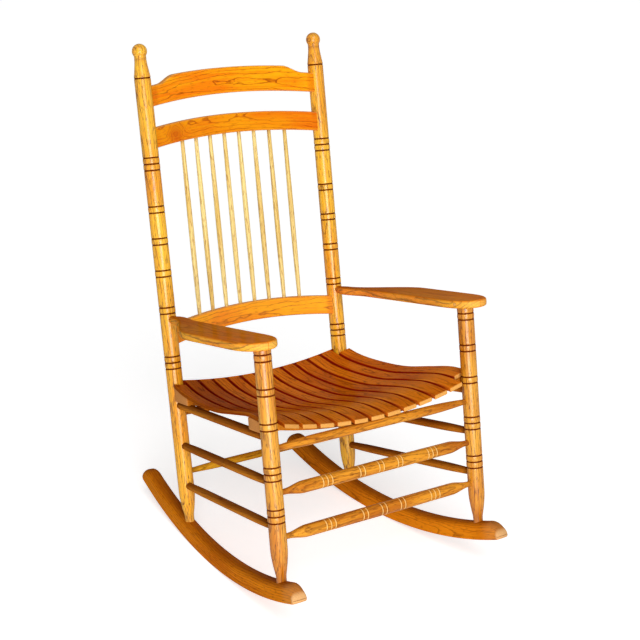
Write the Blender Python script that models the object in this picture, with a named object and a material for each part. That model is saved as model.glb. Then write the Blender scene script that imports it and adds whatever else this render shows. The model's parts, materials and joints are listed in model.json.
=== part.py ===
"""Slat-seat rocking chair with paddle arms, turned posts and a spindle back.

The chair is drawn upright: the front posts stand plumb on y = 0, the back is
towards +Y, and z = 0 is where the front feet meet the rockers. The whole
assembly then leans back to the attitude in which it balances on its rockers.
"""

import math

import bmesh
import bpy
from mathutils import Matrix, Vector

# Stance, between post axes
FRONT_SPREAD = 0.551
BACK_SPREAD = 0.4736
SEAT_DEPTH = 0.453
BACK_LEAN = math.radians(1.1)
BACK_SPLAY = math.radians(0.18)
REST_TILT = math.radians(11.6)

# Clearance left between a piece and the socket, saddle or face that carries it
FIT = 0.0003

# Turned posts
POST_DIAMETER = 0.038
FOOT_DIAMETER = 0.0224
FOOT_TENON = 0.022
FOOT_NECK = 0.012
FOOT_FLARE = 0.064
RING_PITCH = 0.0145
RING_WIDTH = 0.0030
RING_DEPTH = 0.0008
BACK_POST_TOP = 1.146
BALL_DIAMETER = 0.0345
BALL_NECK = 0.0275
BALL_NECK_DROP = 0.036
COLLAR_DROP = 0.078
NECK_COVE = 1.3
# Ring groups: distance below the top of the post, and the rings in the group
BACK_RINGS = ((0.078, 1), (0.273, 3), (0.378, 2), (0.452, 2), (0.527, 2), (0.614, 2), (0.7375, 3))
FRONT_RINGS = ((0.021, 2), (0.094, 2), (0.1685, 2), (0.270, 3), (0.362, 3))

# Paddle arms
ARM_HEIGHT = 0.5013
ARM_THICKNESS = 0.018
ARM_WIDTH = 0.098
ARM_OUTSET = 0.010
ARM_NECK_WIDTH = 0.032
ARM_NECK_LENGTH = 0.030
ARM_INNER_SWEEP = 0.090
ARM_OUTER_SWEEP = 0.200
ARM_TIP = 0.043
ARM_NOSE = 0.085
ARM_NOSE_POWER = 2.6
ARM_SQUARENESS = 1.5
ARM_TENON_DIAMETER = 0.018
ARM_TENON = 0.012
ARM_POST_TENON_DIAMETER = 0.020
ARM_POST_TENON = 0.011

# Bent rails of the back, stacked downwards from the top of the back posts
CREST_DROP = 0.096
CREST_END_HEIGHT = 0.0465
CREST_RISE = 0.0145
CREST_OGEE_START = 0.200
CREST_OGEE_LENGTH = 0.050
CREST_THICKNESS = 0.018
HAND_GAP = 0.0485
SPINDLE_RAIL_HEIGHT = 0.0460
SPINDLE_RAIL_THICKNESS = 0.018
BACK_BOW = 0.030
RAIL_ARCH = 0.0145
RAIL_TENON = 0.0095

# Spindles
SPINDLE_COUNT = 8
SPINDLE_LENGTH = 0.412
SPINDLE_PITCH = 0.041
SPINDLE_END_DIAMETER = 0.0090
SPINDLE_DIAMETER = 0.0125
SPINDLE_FULLNESS = 0.8
SPINDLE_TENON = 0.010

# Rungs: heights of their axes, and diameters at the tenon and at the middle
SEAT_RAIL_HEIGHT = 0.3065
REAR_RAIL_DROP = 0.034
FRONT_RAIL_GAP = 0.0035
UPPER_SIDE_HEIGHT = 0.208
LOWER_SIDE_HEIGHT = 0.1105
UPPER_FRONT_HEIGHT = 0.185
LOWER_FRONT_HEIGHT = 0.088
REAR_RUNG_HEIGHT = 0.141
RUNG_TENON_DIAMETER = 0.013
RUNG_TENON = 0.012
SEAT_RAIL_DIAMETER = 0.020
FRONT_RAIL_DIAMETER = 0.018
SIDE_RUNG_DIAMETER = 0.017
REAR_RUNG_DIAMETER = 0.0185
FRONT_RUNG_DIAMETER = 0.025
FRONT_RUNG_SHOULDER = 0.019
# Share of a front rung's half over which it swells to its shoulder
FRONT_RUNG_NECK = 0.2
SCORE_WIDTH = 0.0024
SCORE_DEPTH = 0.0006
SCORE_PITCH = 0.012
# Score groups of a front rung: distance from its middle, and the lines in the group
FRONT_SCORES = ((-0.145, 3), (-0.052, 2), (0.0, 2), (0.052, 2), (0.145, 3))

# Slatted seat; the profile gives shares of the seat depth and rises above the dip
SLAT_COUNT = 13
SLAT_WIDTH = 0.0325
SLAT_THICKNESS = 0.0095
# Distance of the outer slats' middles inside the posts' axes
FRONT_SLAT_INSET = 0.0061
REAR_SLAT_INSET = 0.0004
FRONT_DISH = 0.034
REAR_DISH = 0.027
DISH_HALF = 0.260
SEAT_PROFILE = (
    (-0.029, -0.0008),
    (0.045, 0.0068),
    (0.155, 0.0150),
    (0.310, 0.0056),
    (0.505, 0.0000),
    (0.705, 0.0056),
    (0.875, 0.0175),
    (1.005, 0.0360),
)
FRONT_CLEAT_WIDTH = 0.050
REAR_CLEAT_WIDTH = 0.076
REAR_LIP = 0.006
CLEAT_THICKNESS = 0.0270
CLEAT_OVERHANG = 0.012
CLEAT_POST_GAP = 0.0025
SADDLE_DEPTH = 0.001
OUTER_SLAT_GAP = 0.002

# Rockers: radius of the running edge, and the place of its centre
ROCKER_RADIUS = 1.047
ROCKER_HEIGHT = 0.041
ROCKER_THICKNESS = 0.036
ROCKER_CENTRE_Y = 0.1601
ROCKER_DROP = 0.061
ROCKER_FRONT_REACH = 0.080
ROCKER_REAR_REACH = 0.239
ROCKER_ROUND = 0.014
ROCKER_FRONT_EASE = 0.35
ROCKER_REAR_EASE = 0.7
ROCKER_NOSE = 0.034
ROCKER_HEEL = 0.006
ROCKER_FACET = math.radians(2.0)

# Facets
POST_SIDES = 12
RUNG_SIDES = 10
SPINDLE_SIDES = 8
ARM_SIDES = 12
ARM_STEPS = 14
ARM_NOSE_STEPS = 7
ARM_TIP_TURN = math.radians(87)
NOSE_STEPS = 3
ROUND_STEPS = 2
FOOT_STEPS = 4
COVE_STEPS = 3
BALL_STEPS = 5
BALL_TOP_FLAT = math.radians(12)
SPINDLE_STEPS = 5
# Shares of a rung's half at which its swelling bends
RUNG_BENDS = (-0.7, -0.35, 0.0, 0.35, 0.7)
FRONT_RUNG_BENDS = (-0.9, -0.8, -0.4, 0.4, 0.8, 0.9)
CREST_STEPS = 34
SPINDLE_RAIL_STEPS = 20
MORTISE_STEPS = 3
# Bends of a slat: over its front roll, front cleat, middle and rear cleat
SLAT_STEPS = (2, 3, 6, 4)
SHARP_EDGE = math.radians(35)

# Finishes: base colour and roughness
GOLDEN_OAK = ((0.72, 0.36, 0.07), 0.32)
AMBER_OAK = ((0.78, 0.34, 0.04), 0.30)
BROWN_OAK = ((0.40, 0.16, 0.03), 0.38)
SEAT_OAK = ((0.46, 0.18, 0.03), 0.34)
PALE_OAK = ((0.83, 0.62, 0.25), 0.40)

POST_RADIUS = POST_DIAMETER / 2
BACK_HALF = BACK_SPREAD / 2 - POST_RADIUS
ARM_MIDDLE = ARM_HEIGHT + ARM_THICKNESS / 2
CREST_BASE = BACK_POST_TOP - CREST_DROP - CREST_END_HEIGHT
UPPER_RAIL_BASE = CREST_BASE - HAND_GAP - SPINDLE_RAIL_HEIGHT
LOWER_RAIL_BASE = UPPER_RAIL_BASE - SPINDLE_LENGTH - SPINDLE_RAIL_HEIGHT
REAR_RAIL_HEIGHT = SEAT_RAIL_HEIGHT - REAR_RAIL_DROP
FRONT_PITCH = (FRONT_SPREAD - 2 * FRONT_SLAT_INSET) / (SLAT_COUNT - 1)
REAR_PITCH = (BACK_SPREAD - 2 * REAR_SLAT_INSET) / (SLAT_COUNT - 1)
ROCKER_CENTRE_Z = ROCKER_RADIUS - ROCKER_DROP
SIDES = {"left": -1, "right": 1}


def clear_scene():
    """Empties the file of objects."""
    for old in list(bpy.data.objects):
        bpy.data.objects.remove(old, do_unlink=True)


def make_stance():
    """The parent of every piece, which leans the upright chair back to its balance."""
    stance = bpy.data.objects.new("stance", None)
    bpy.context.collection.objects.link(stance)
    stance.rotation_euler = (-REST_TILT, 0, 0)
    return stance


def set_down(stance):
    """Moves the whole chair so that it stands on z = 0, its outline centred on the origin."""
    bpy.context.view_layer.update()
    points = []
    for piece in stance.children:
        if not piece.hide_render:
            points += [piece.matrix_world @ vertex.co for vertex in piece.data.vertices]
    depths = [point.y for point in points]
    stance.location = (0, -(min(depths) + max(depths)) / 2, -min(point.z for point in points))


def finish(name, colour, roughness):
    """A wood finish with its own colour."""
    material = bpy.data.materials.new(name)
    material.use_nodes = True
    shader = material.node_tree.nodes["Principled BSDF"]
    shader.inputs["Base Color"].default_value = (*colour, 1)
    shader.inputs["Roughness"].default_value = roughness
    shader.inputs["Metallic"].default_value = 0
    return material


def loft(rings):
    """A closed body through rings of points, each ring with the same number of points."""
    body = bmesh.new()
    loops = [[body.verts.new(point) for point in ring] for ring in rings]
    count = len(loops[0])
    for first, second in zip(loops, loops[1:]):
        for k in range(count):
            body.faces.new((first[k], first[(k + 1) % count], second[(k + 1) % count], second[k]))
    body.faces.new(reversed(loops[0]))
    body.faces.new(loops[-1])
    bmesh.ops.recalc_face_normals(body, faces=body.faces)
    return body


def turned(profile, sides):
    """A body of revolution about local Z from (height, radius) pairs, lowest first."""
    turns = [2 * math.pi * (k + 0.5) / sides for k in range(sides)]
    return loft([[(r * math.cos(a), r * math.sin(a), z) for a in turns] for z, r in profile])


def place(name, body, stance, colour=None, start=None, along=None):
    """Makes an object of a body; local Z is turned to a direction and moved to a start."""
    mesh = bpy.data.meshes.new(name)
    body.to_mesh(mesh)
    body.free()
    mesh.shade_smooth()
    mesh.set_sharp_from_angle(angle=SHARP_EDGE)
    piece = bpy.data.objects.new(name, mesh)
    bpy.context.collection.objects.link(piece)
    piece.parent = stance
    if start is not None:
        piece.location = start
    if along is not None:
        piece.rotation_mode = "QUATERNION"
        piece.rotation_quaternion = Vector(along).to_track_quat("Z", "X")
    if colour is not None:
        mesh.materials.append(finish(name + "_finish", *colour))
    else:
        piece.hide_render = True
        piece.display_type = "WIRE"
    return piece


def cut(piece, cutter):
    """Takes the cutter's volume out of the piece."""
    boolean = piece.modifiers.new(cutter.name, "BOOLEAN")
    boolean.operation = "DIFFERENCE"
    boolean.solver = "EXACT"
    boolean.object = cutter


def smoothstep(t):
    """Eases from 0 to 1 as t goes from 0 to 1."""
    t = min(max(t, 0.0), 1.0)
    return t * t * (3 - 2 * t)


def spread(start, end, steps):
    """Evenly spaced values from start to end, both included."""
    return [start + (end - start) * k / steps for k in range(steps + 1)]


def back_y(z):
    """Depth of the back posts' axes at a height."""
    return SEAT_DEPTH + z * math.tan(BACK_LEAN)


def foot_of(side, post):
    """Where a post's axis crosses z = 0."""
    if post == "front":
        return Vector((side * FRONT_SPREAD / 2, 0, 0))
    return Vector((side * BACK_SPREAD / 2, SEAT_DEPTH, 0))


def axis_of(side, post):
    """Direction of a post, upwards, scaled to rise by one unit; the back posts lean and splay."""
    if post == "front":
        return Vector((0, 0, 1))
    return Vector((side * math.tan(BACK_SPLAY), math.tan(BACK_LEAN), 1))


def point_on(side, post, z):
    """Point of a post's axis at a height."""
    return foot_of(side, post) + axis_of(side, post) * z


def back_face(z):
    """Distance of the back posts' inner faces from the middle at a height."""
    return point_on(1, "back", z).x - POST_RADIUS


def rocker_top(y):
    """Height of the rocker's upper edge at a depth."""
    reach = ROCKER_RADIUS - ROCKER_HEIGHT
    return ROCKER_CENTRE_Z - math.sqrt(reach**2 - (y - ROCKER_CENTRE_Y) ** 2)


def grooves(rings, pitch, width, depth, radius_at):
    """Profile points of V-shaped grooves, from (height of the group, count) pairs."""
    points = []
    for middle, count in rings:
        for k in range(count):
            z = middle + (k - (count - 1) / 2) * pitch
            points.append((z - width / 2, radius_at(z - width / 2)))
            points.append((z, radius_at(z) - depth))
            points.append((z + width / 2, radius_at(z + width / 2)))
    return points


def foot_profile(y):
    """Lower end of a post: a round tenon sunk in the rocker, then a swelling taper."""
    seat = rocker_top(y)
    swell = (POST_DIAMETER - FOOT_DIAMETER) / 2
    points = [(seat - FOOT_TENON, FOOT_DIAMETER / 2)]
    for t in spread(0, 1, FOOT_STEPS):
        radius = FOOT_DIAMETER / 2 + swell * math.sin(math.pi / 2 * t)
        points.append((seat + FOOT_NECK + FOOT_FLARE * t, radius))
    return points


def finial_profile():
    """Upper end of a back post: collar, coved neck and ball, as (height, radius) pairs."""
    ball = BALL_DIAMETER / 2
    neck = BALL_NECK / 2
    middle = BACK_POST_TOP - ball
    neck_z = BACK_POST_TOP - BALL_NECK_DROP
    collar_z = BACK_POST_TOP - COLLAR_DROP + RING_WIDTH
    points = []
    for t in spread(0, 1, COVE_STEPS):
        cove = (1 - t) ** NECK_COVE
        points.append((collar_z + (neck_z - collar_z) * t, neck + (POST_RADIUS - neck) * cove))
    low = math.asin(neck / ball)
    for t in spread(0, 1, BALL_STEPS):
        angle = math.pi - low - t * (math.pi - low - BALL_TOP_FLAT)
        points.append((middle + ball * math.cos(angle), ball * math.sin(angle)))
    return points


def shaft(z):
    """Radius of the plain length of a post."""
    return POST_RADIUS


def post_profile(post):
    """Whole turned profile of a front or back post, lowest point first."""
    if post == "front":
        top = ARM_HEIGHT - FIT
        tenon = ARM_POST_TENON_DIAMETER / 2
        head = [(top, POST_RADIUS), (top, tenon), (top + ARM_POST_TENON, tenon)]
        rings = [(top - drop, count) for drop, count in FRONT_RINGS]
        foot = foot_profile(0)
    else:
        head = finial_profile()
        rings = [(BACK_POST_TOP - drop, count) for drop, count in BACK_RINGS]
        foot = foot_profile(SEAT_DEPTH)
    marks = grooves(rings, RING_PITCH, RING_WIDTH, RING_DEPTH, shaft)
    return foot + sorted(marks) + head


def rung_profile(length, middle, shoulder=None, scores=()):
    """A turned rung: straight tenons that swell to the middle, with any score lines."""
    tenon = RUNG_TENON_DIAMETER / 2
    ease = RUNG_TENON + 2 * RING_WIDTH
    half = length / 2

    def radius_at(z):
        t = 1 - abs(z) / (half - ease)
        if shoulder is None:
            return tenon + (middle / 2 - tenon) * math.sin(math.pi / 2 * max(t, 0.0))
        low = tenon + (shoulder / 2 - tenon) * smoothstep(t / FRONT_RUNG_NECK)
        return low + (middle - shoulder) / 2 * smoothstep(t)

    inner = RUNG_BENDS if shoulder is None else FRONT_RUNG_BENDS
    plain = [-half, -half + ease] + [(half - ease) * share for share in inner] + [half - ease, half]
    points = [(z, radius_at(z)) for z in plain]
    marks = grooves(scores, SCORE_PITCH, SCORE_WIDTH, SCORE_DEPTH, radius_at)
    spans = [(m - c * SCORE_PITCH / 2, m + c * SCORE_PITCH / 2) for m, c in scores]
    points = [p for p in points if not any(a <= p[0] <= b for a, b in spans)]
    return sorted(points + marks)


def rung_ends(side_a, post_a, side_b, post_b, z):
    """Axis points of two posts at a height, and the direction from one to the other."""
    start = point_on(side_a, post_a, z)
    end = point_on(side_b, post_b, z)
    return start, end, (end - start).normalized()


def make_rung(name, stance, ends, middle, colour, shoulder=None, scores=()):
    """A rung between two posts, with a tenon in each."""
    start, end, along = ends
    length = (end - start).length - 2 * (POST_RADIUS - RUNG_TENON)
    body = turned(rung_profile(length, middle, shoulder, scores), RUNG_SIDES)
    return place(name, body, stance, colour, (start + end) / 2, along)


def rung_sockets(stance, name, ends):
    """Cutters for the blind holes of a rung's two tenons."""
    start, end, along = ends
    radius = RUNG_TENON_DIAMETER / 2 + FIT
    half = (end - start).length / 2
    bottom = half - (POST_RADIUS - RUNG_TENON) + FIT
    mouth = half - POST_RADIUS - RING_WIDTH
    sockets = []
    for tag, low, high in (("start", -bottom, -mouth), ("end", mouth, bottom)):
        body = turned([(low, radius), (high, radius)], RUNG_SIDES)
        sockets.append(place(f"{name}_socket_{tag}", body, stance, None, (start + end) / 2, along))
    return sockets


def back_curve(x):
    """Share of the bow and arch of the back rails at a distance from the middle."""
    return 1 - (x / BACK_HALF) ** 2


def crest_height(x):
    """Height of the crest rail: low shoulders at the posts and an ogee up to the arch."""
    return CREST_END_HEIGHT + CREST_RISE * smoothstep((CREST_OGEE_START - abs(x)) / CREST_OGEE_LENGTH)


def spindle_rail_height(x):
    """Height of a spindle rail, the same all along."""
    return SPINDLE_RAIL_HEIGHT


BACK_RAILS = {
    "crest_rail": (CREST_BASE, crest_height, CREST_THICKNESS, CREST_STEPS),
    "upper_spindle_rail": (UPPER_RAIL_BASE, spindle_rail_height, SPINDLE_RAIL_THICKNESS, SPINDLE_RAIL_STEPS),
    "lower_spindle_rail": (LOWER_RAIL_BASE, spindle_rail_height, SPINDLE_RAIL_THICKNESS, SPINDLE_RAIL_STEPS),
}


def rail_rings(rail, start, end, steps, grow=0.0):
    """Rings of a bowed and arched rail between two distances from the middle."""
    base, height_at, thickness, _ = BACK_RAILS[rail]
    rings = []
    for x in spread(start, end, steps):
        slope = -2 * BACK_BOW * x / BACK_HALF**2
        outward = Vector((-slope, 1, 0)).normalized() * (thickness / 2 + grow)
        low = base + RAIL_ARCH * back_curve(x)
        ring = []
        for z, turn in ((low - grow, 1), (low + height_at(x) + grow, -1)):
            middle = Vector((x, back_y(z) + BACK_BOW * back_curve(x), z))
            ring += [middle - outward * turn, middle + outward * turn]
        rings.append(ring)
    return rings


def make_back_rail(stance, rail):
    """One bent rail of the back, with its ends let into the posts."""
    base, _, _, steps = BACK_RAILS[rail]
    reach = back_face(base) + RAIL_TENON
    body = loft(rail_rings(rail, -reach, reach, steps))
    return place(rail, body, stance, AMBER_OAK)


def rail_mortise(stance, rail, side, tag):
    """Cutter for the mortise of a rail's end in a back post."""
    face = back_face(BACK_RAILS[rail][0])
    mouth = face - POST_RADIUS / 2
    bottom = face + RAIL_TENON + FIT
    body = loft(rail_rings(rail, side * mouth, side * bottom, MORTISE_STEPS, FIT))
    return place(f"{rail}_mortise_{tag}", body, stance)


def spindle_spots():
    """Distances of the spindles from the middle."""
    return [(k - (SPINDLE_COUNT - 1) / 2) * SPINDLE_PITCH for k in range(SPINDLE_COUNT)]


def spindle_foot(x):
    """Point on the upper edge of the lower rail where a spindle stands."""
    z = LOWER_RAIL_BASE + SPINDLE_RAIL_HEIGHT + RAIL_ARCH * back_curve(x)
    return Vector((x, back_y(z) + BACK_BOW * back_curve(x), z))


def spindle_axis():
    """Direction of the spindles: they lean with the back."""
    return Vector((0, math.tan(BACK_LEAN), 1))


def make_spindle(stance, number, x):
    """A slender spindle, fullest above its middle, with a tenon at each end."""
    end = SPINDLE_END_DIAMETER / 2
    belly = SPINDLE_DIAMETER / 2 - end
    run = SPINDLE_LENGTH / math.cos(BACK_LEAN)
    tenon = SPINDLE_TENON - FIT
    profile = [(-tenon, end)]
    for t in spread(0, 1, SPINDLE_STEPS):
        profile.append((run * t, end + belly * math.sin(math.pi * t**SPINDLE_FULLNESS)))
    profile += [(run + tenon, end)]
    body = turned(profile, SPINDLE_SIDES)
    return place(f"spindle_{number}", body, stance, PALE_OAK, spindle_foot(x), spindle_axis())


def spindle_socket(stance, number, x, end):
    """Cutter for a spindle's hole in the lower or the upper rail."""
    run = SPINDLE_LENGTH / math.cos(BACK_LEAN)
    mouth = 0.0 if end == "low" else run
    radius = SPINDLE_END_DIAMETER / 2 + FIT
    body = turned([(mouth - SPINDLE_TENON, radius), (mouth + SPINDLE_TENON, radius)], SPINDLE_SIDES)
    return place(f"spindle_{number}_socket_{end}", body, stance, None, spindle_foot(x), spindle_axis())


def arm_shoulder():
    """Depth at which an arm meets the face of its back post."""
    return back_y(ARM_MIDDLE) - POST_RADIUS


def arm_plan(y):
    """Inner and outer edge of the right arm at a depth, before its nose is rounded."""
    rear = point_on(1, "back", ARM_MIDDLE).x
    front = FRONT_SPREAD / 2 + ARM_OUTSET
    before = arm_shoulder() - y
    neck = smoothstep(before / ARM_NECK_LENGTH)
    half = (ARM_TENON_DIAMETER + (ARM_NECK_WIDTH - ARM_TENON_DIAMETER) * neck) / 2
    inward = smoothstep((before - ARM_NECK_LENGTH) / ARM_INNER_SWEEP)
    outward = smoothstep((before - ARM_NECK_LENGTH) / ARM_OUTER_SWEEP)
    inner = rear - half
    inner += (front - ARM_WIDTH / 2 - inner) * inward
    outer = rear + half
    outer += (front + ARM_WIDTH / 2 - outer) * outward
    return inner, outer


def arm_ring(side, y):
    """Ring of an arm at a depth: round at the tenon, a soft-edged board further on."""
    inner, outer = arm_plan(y)
    nose = max((ARM_NOSE - ARM_TIP - y) / ARM_NOSE, 0.0)
    half = (outer - inner) / 2 * math.sqrt(max(1 - nose**ARM_NOSE_POWER, 0.0))
    board = smoothstep((arm_shoulder() - y) / (ARM_NECK_LENGTH + ARM_INNER_SWEEP))
    deep = (ARM_TENON_DIAMETER + (ARM_THICKNESS - ARM_TENON_DIAMETER) * board) / 2
    power = 1 / (1 + ARM_SQUARENESS * board)
    ring = []
    for k in range(ARM_SIDES):
        turn = 2 * math.pi * (k + 0.5) / ARM_SIDES
        across = math.copysign(abs(math.cos(turn)) ** power, math.cos(turn))
        up = math.copysign(abs(math.sin(turn)) ** power, math.sin(turn))
        x = (inner + outer) / 2 + half * across
        ring.append(Vector((side * x, y, ARM_MIDDLE + deep * up)))
    return ring


def arm_rings(side):
    """Rings of a paddle arm from the tip to the end of its rear tenon."""
    nose_start = ARM_NOSE - ARM_TIP
    nose = [nose_start - ARM_NOSE * math.sin(t) for t in spread(ARM_TIP_TURN, 0, ARM_NOSE_STEPS)]
    depths = nose + spread(nose_start, arm_shoulder(), ARM_STEPS)[1:]
    rings = [arm_ring(side, y) for y in depths]
    rings.append([point + Vector((0, ARM_TENON, 0)) for point in rings[-1]])
    return rings


def make_arm(stance, tag, side):
    """A paddle arm with its rear tenon, and a hole below for the front post."""
    arm = place(f"arm_{tag}", loft(arm_rings(side)), stance, AMBER_OAK)
    radius = ARM_POST_TENON_DIAMETER / 2 + FIT
    depth = ARM_POST_TENON + FIT
    body = turned([(-depth, radius), (depth, radius)], POST_SIDES)
    cut(arm, place(f"arm_{tag}_socket", body, stance, None, point_on(side, "front", ARM_HEIGHT)))
    return arm


def arm_mortise(stance, tag, side):
    """Cutter for the round hole of an arm's tenon in the back post."""
    shoulder = arm_shoulder()
    middle = point_on(side, "back", ARM_MIDDLE)
    middle.y = shoulder
    grow = 1 + FIT / (ARM_TENON_DIAMETER / 2)
    ring = [middle + (point - middle) * grow for point in arm_ring(side, shoulder)]
    ends = (-RING_WIDTH, ARM_TENON + FIT)
    body = loft([[point + Vector((0, y, 0)) for point in ring] for y in ends])
    return place(f"arm_{tag}_mortise", body, stance)


def seat_rise(y):
    """Rise of the seat's middle line above its dip, a smooth curve through the profile."""
    points = [(share * SEAT_DEPTH, rise) for share, rise in SEAT_PROFILE]
    points.insert(0, tuple(2 * Vector(points[0]) - Vector(points[1])))
    points.append(tuple(2 * Vector(points[-1]) - Vector(points[-2])))
    k = 1
    while k < len(points) - 3 and y > points[k + 1][0]:
        k += 1
    (y0, z0), (y1, z1), (y2, z2), (y3, z3) = points[k - 1 : k + 3]
    t = (y - y1) / (y2 - y1)
    first = (z2 - z0) / (y2 - y0) * (y2 - y1)
    last = (z3 - z1) / (y3 - y1) * (y2 - y1)
    h = t * t * (3 - 2 * t)
    return z1 + h * (z2 - z1) + t * (1 - t) ** 2 * first - t * t * (1 - t) * last


def seat_dish(x, y):
    """Rise of the seat from its middle towards its sides, at a depth."""
    dish = FRONT_DISH + (REAR_DISH - FRONT_DISH) * y / SEAT_DEPTH
    return dish * (x / DISH_HALF) ** 2


def slat_pitch(y):
    """Spacing of the slats at a depth: they fan out towards the front."""
    return FRONT_PITCH + (REAR_PITCH - FRONT_PITCH) * y / SEAT_DEPTH


def seat_rail_x(y):
    """Distance of the side seat rails from the middle at a depth."""
    share = y / back_y(SEAT_RAIL_HEIGHT)
    return (FRONT_SPREAD + (BACK_SPREAD - FRONT_SPREAD) * share) / 2


FRONT_CLEAT = (POST_RADIUS + CLEAT_POST_GAP, POST_RADIUS + CLEAT_POST_GAP + FRONT_CLEAT_WIDTH)
SLAT_END = SEAT_PROFILE[-1][0] * SEAT_DEPTH
REAR_CLEAT = (SLAT_END + FIT - REAR_CLEAT_WIDTH, SLAT_END + FIT)


def seat_dip():
    """Height of the seat's lowest point, worked up from the side rails through the cleats."""
    rises = []
    for cleat in (FRONT_CLEAT, REAR_CLEAT):
        y = sum(cleat) / 2
        rises.append(seat_rise(y) + seat_dish(seat_rail_x(y), y))
    stack = CLEAT_THICKNESS + SLAT_THICKNESS + FIT
    return SEAT_RAIL_HEIGHT + SEAT_RAIL_DIAMETER / 2 + stack - SADDLE_DEPTH - max(rises)


SEAT_DIP = seat_dip()


def front_rail_height():
    """Height of the front seat rail's axis, close under the slats that roll down over it."""
    radius = FRONT_RAIL_DIAMETER / 2
    slope = (seat_rise(radius) - seat_rise(-radius)) / (2 * radius)
    under = SEAT_DIP + seat_rise(0) - SLAT_THICKNESS
    return under - (radius + FRONT_RAIL_GAP) * math.hypot(1, slope)


def seat_stations():
    """Depths at which slats and cleats share a bend line."""
    start = SEAT_PROFILE[0][0] * SEAT_DEPTH
    edges = (start, *FRONT_CLEAT, REAR_CLEAT[0], SLAT_END)
    stations = [start]
    for near, far, steps in zip(edges, edges[1:], SLAT_STEPS):
        stations += spread(near, far, steps)[1:]
    return stations


def seat_point(lane, y, drop):
    """Point of the seat at a count of slat pitches from the middle, below its top face.

    The seat is straight across each pitch, so that slats lie flat on the cleats.
    """
    pitch = slat_pitch(y)
    low = math.floor(lane + 0.5) - 0.5
    left = seat_dish(low * pitch, y)
    right = seat_dish((low + 1) * pitch, y)
    z = SEAT_DIP + seat_rise(y) + left + (right - left) * (lane - low) - drop
    return Vector((lane * pitch, y, z))


def make_slat(stance, number, lane):
    """A bent seat slat; the outermost two stop short of the posts."""
    stations = seat_stations()
    if abs(lane) == (SLAT_COUNT - 1) / 2:
        end = back_y(SEAT_RAIL_HEIGHT) - POST_RADIUS - OUTER_SLAT_GAP
        stations = [y for y in stations if FRONT_CLEAT[0] <= y < end] + [end]
    rings = []
    for y in stations:
        half = SLAT_WIDTH / 2 / slat_pitch(y)
        top = [seat_point(lane - half, y, 0), seat_point(lane + half, y, 0)]
        drop = Vector((0, 0, SLAT_THICKNESS))
        rings.append([top[0], top[1], top[1] - drop, top[0] - drop])
    return place(f"seat_slat_{number:02d}", loft(rings), stance, SEAT_OAK)


def make_cleat(stance, name, span, lip=0.0):
    """A dished cleat under the slats, with any lip that stands up behind their ends."""
    stations = [y for y in seat_stations() if span[0] - FIT <= y < span[1] - 2 * FIT] + [span[1]]
    middle = sum(span) / 2
    end = (seat_rail_x(middle) + CLEAT_OVERHANG) / slat_pitch(middle)
    inner = [k - SLAT_COUNT / 2 for k in range(1, SLAT_COUNT)]
    rings = []
    for lane in [-end, *inner, end]:
        top = SLAT_THICKNESS + FIT
        ring = [seat_point(lane, y, top) for y in stations]
        if lip:
            ring += [seat_point(lane, y, 0) for y in (span[1], span[1] + lip)]
        floor = seat_point(lane, middle, top + CLEAT_THICKNESS).z
        ring += [Vector((point.x, point.y, floor)) for point in (ring[-1], ring[0])]
        rings.append(ring)
    return place(name, loft(rings), stance, BROWN_OAK)


def saddle_cutter(stance, tag, side):
    """Cutter in the shape of a side seat rail with its clearance."""
    start, end, along = rung_ends(side, "front", side, "back", SEAT_RAIL_HEIGHT)
    length = (end - start).length - 2 * (POST_RADIUS - RUNG_TENON)
    profile = [(z, r + FIT) for z, r in rung_profile(length, SEAT_RAIL_DIAMETER)]
    return place(f"saddle_{tag}", turned(profile, RUNG_SIDES), stance, None, (start + end) / 2, along)


def post_notch(stance, tag, side):
    """Cutter in the shape of a back post with its clearance, for the corners of the rear cleat."""
    low = SEAT_RAIL_HEIGHT - CLEAT_THICKNESS
    high = SEAT_RAIL_HEIGHT + 3 * CLEAT_THICKNESS
    body = turned([(low, POST_RADIUS + FIT), (high, POST_RADIUS + FIT)], POST_SIDES)
    return place(f"notch_{tag}", body, stance, None, foot_of(side, "back"), axis_of(side, "back"))


def rocker_turn(y):
    """Angle from straight down, about the rocker's centre, of its running edge at a depth."""
    return math.asin((y - ROCKER_CENTRE_Y) / ROCKER_RADIUS)


def rocker_corner(end, way, radius, height, drop):
    """Rounded corner at an end of a rocker, as (angle, rise), from its end face inwards."""
    points = []
    for t in spread(0, math.pi / 2, NOSE_STEPS):
        reach = radius * (1 - math.cos(t)) / ROCKER_RADIUS
        points.append((end - way * reach, height + drop * radius * (1 - math.sin(t))))
    return points


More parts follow.
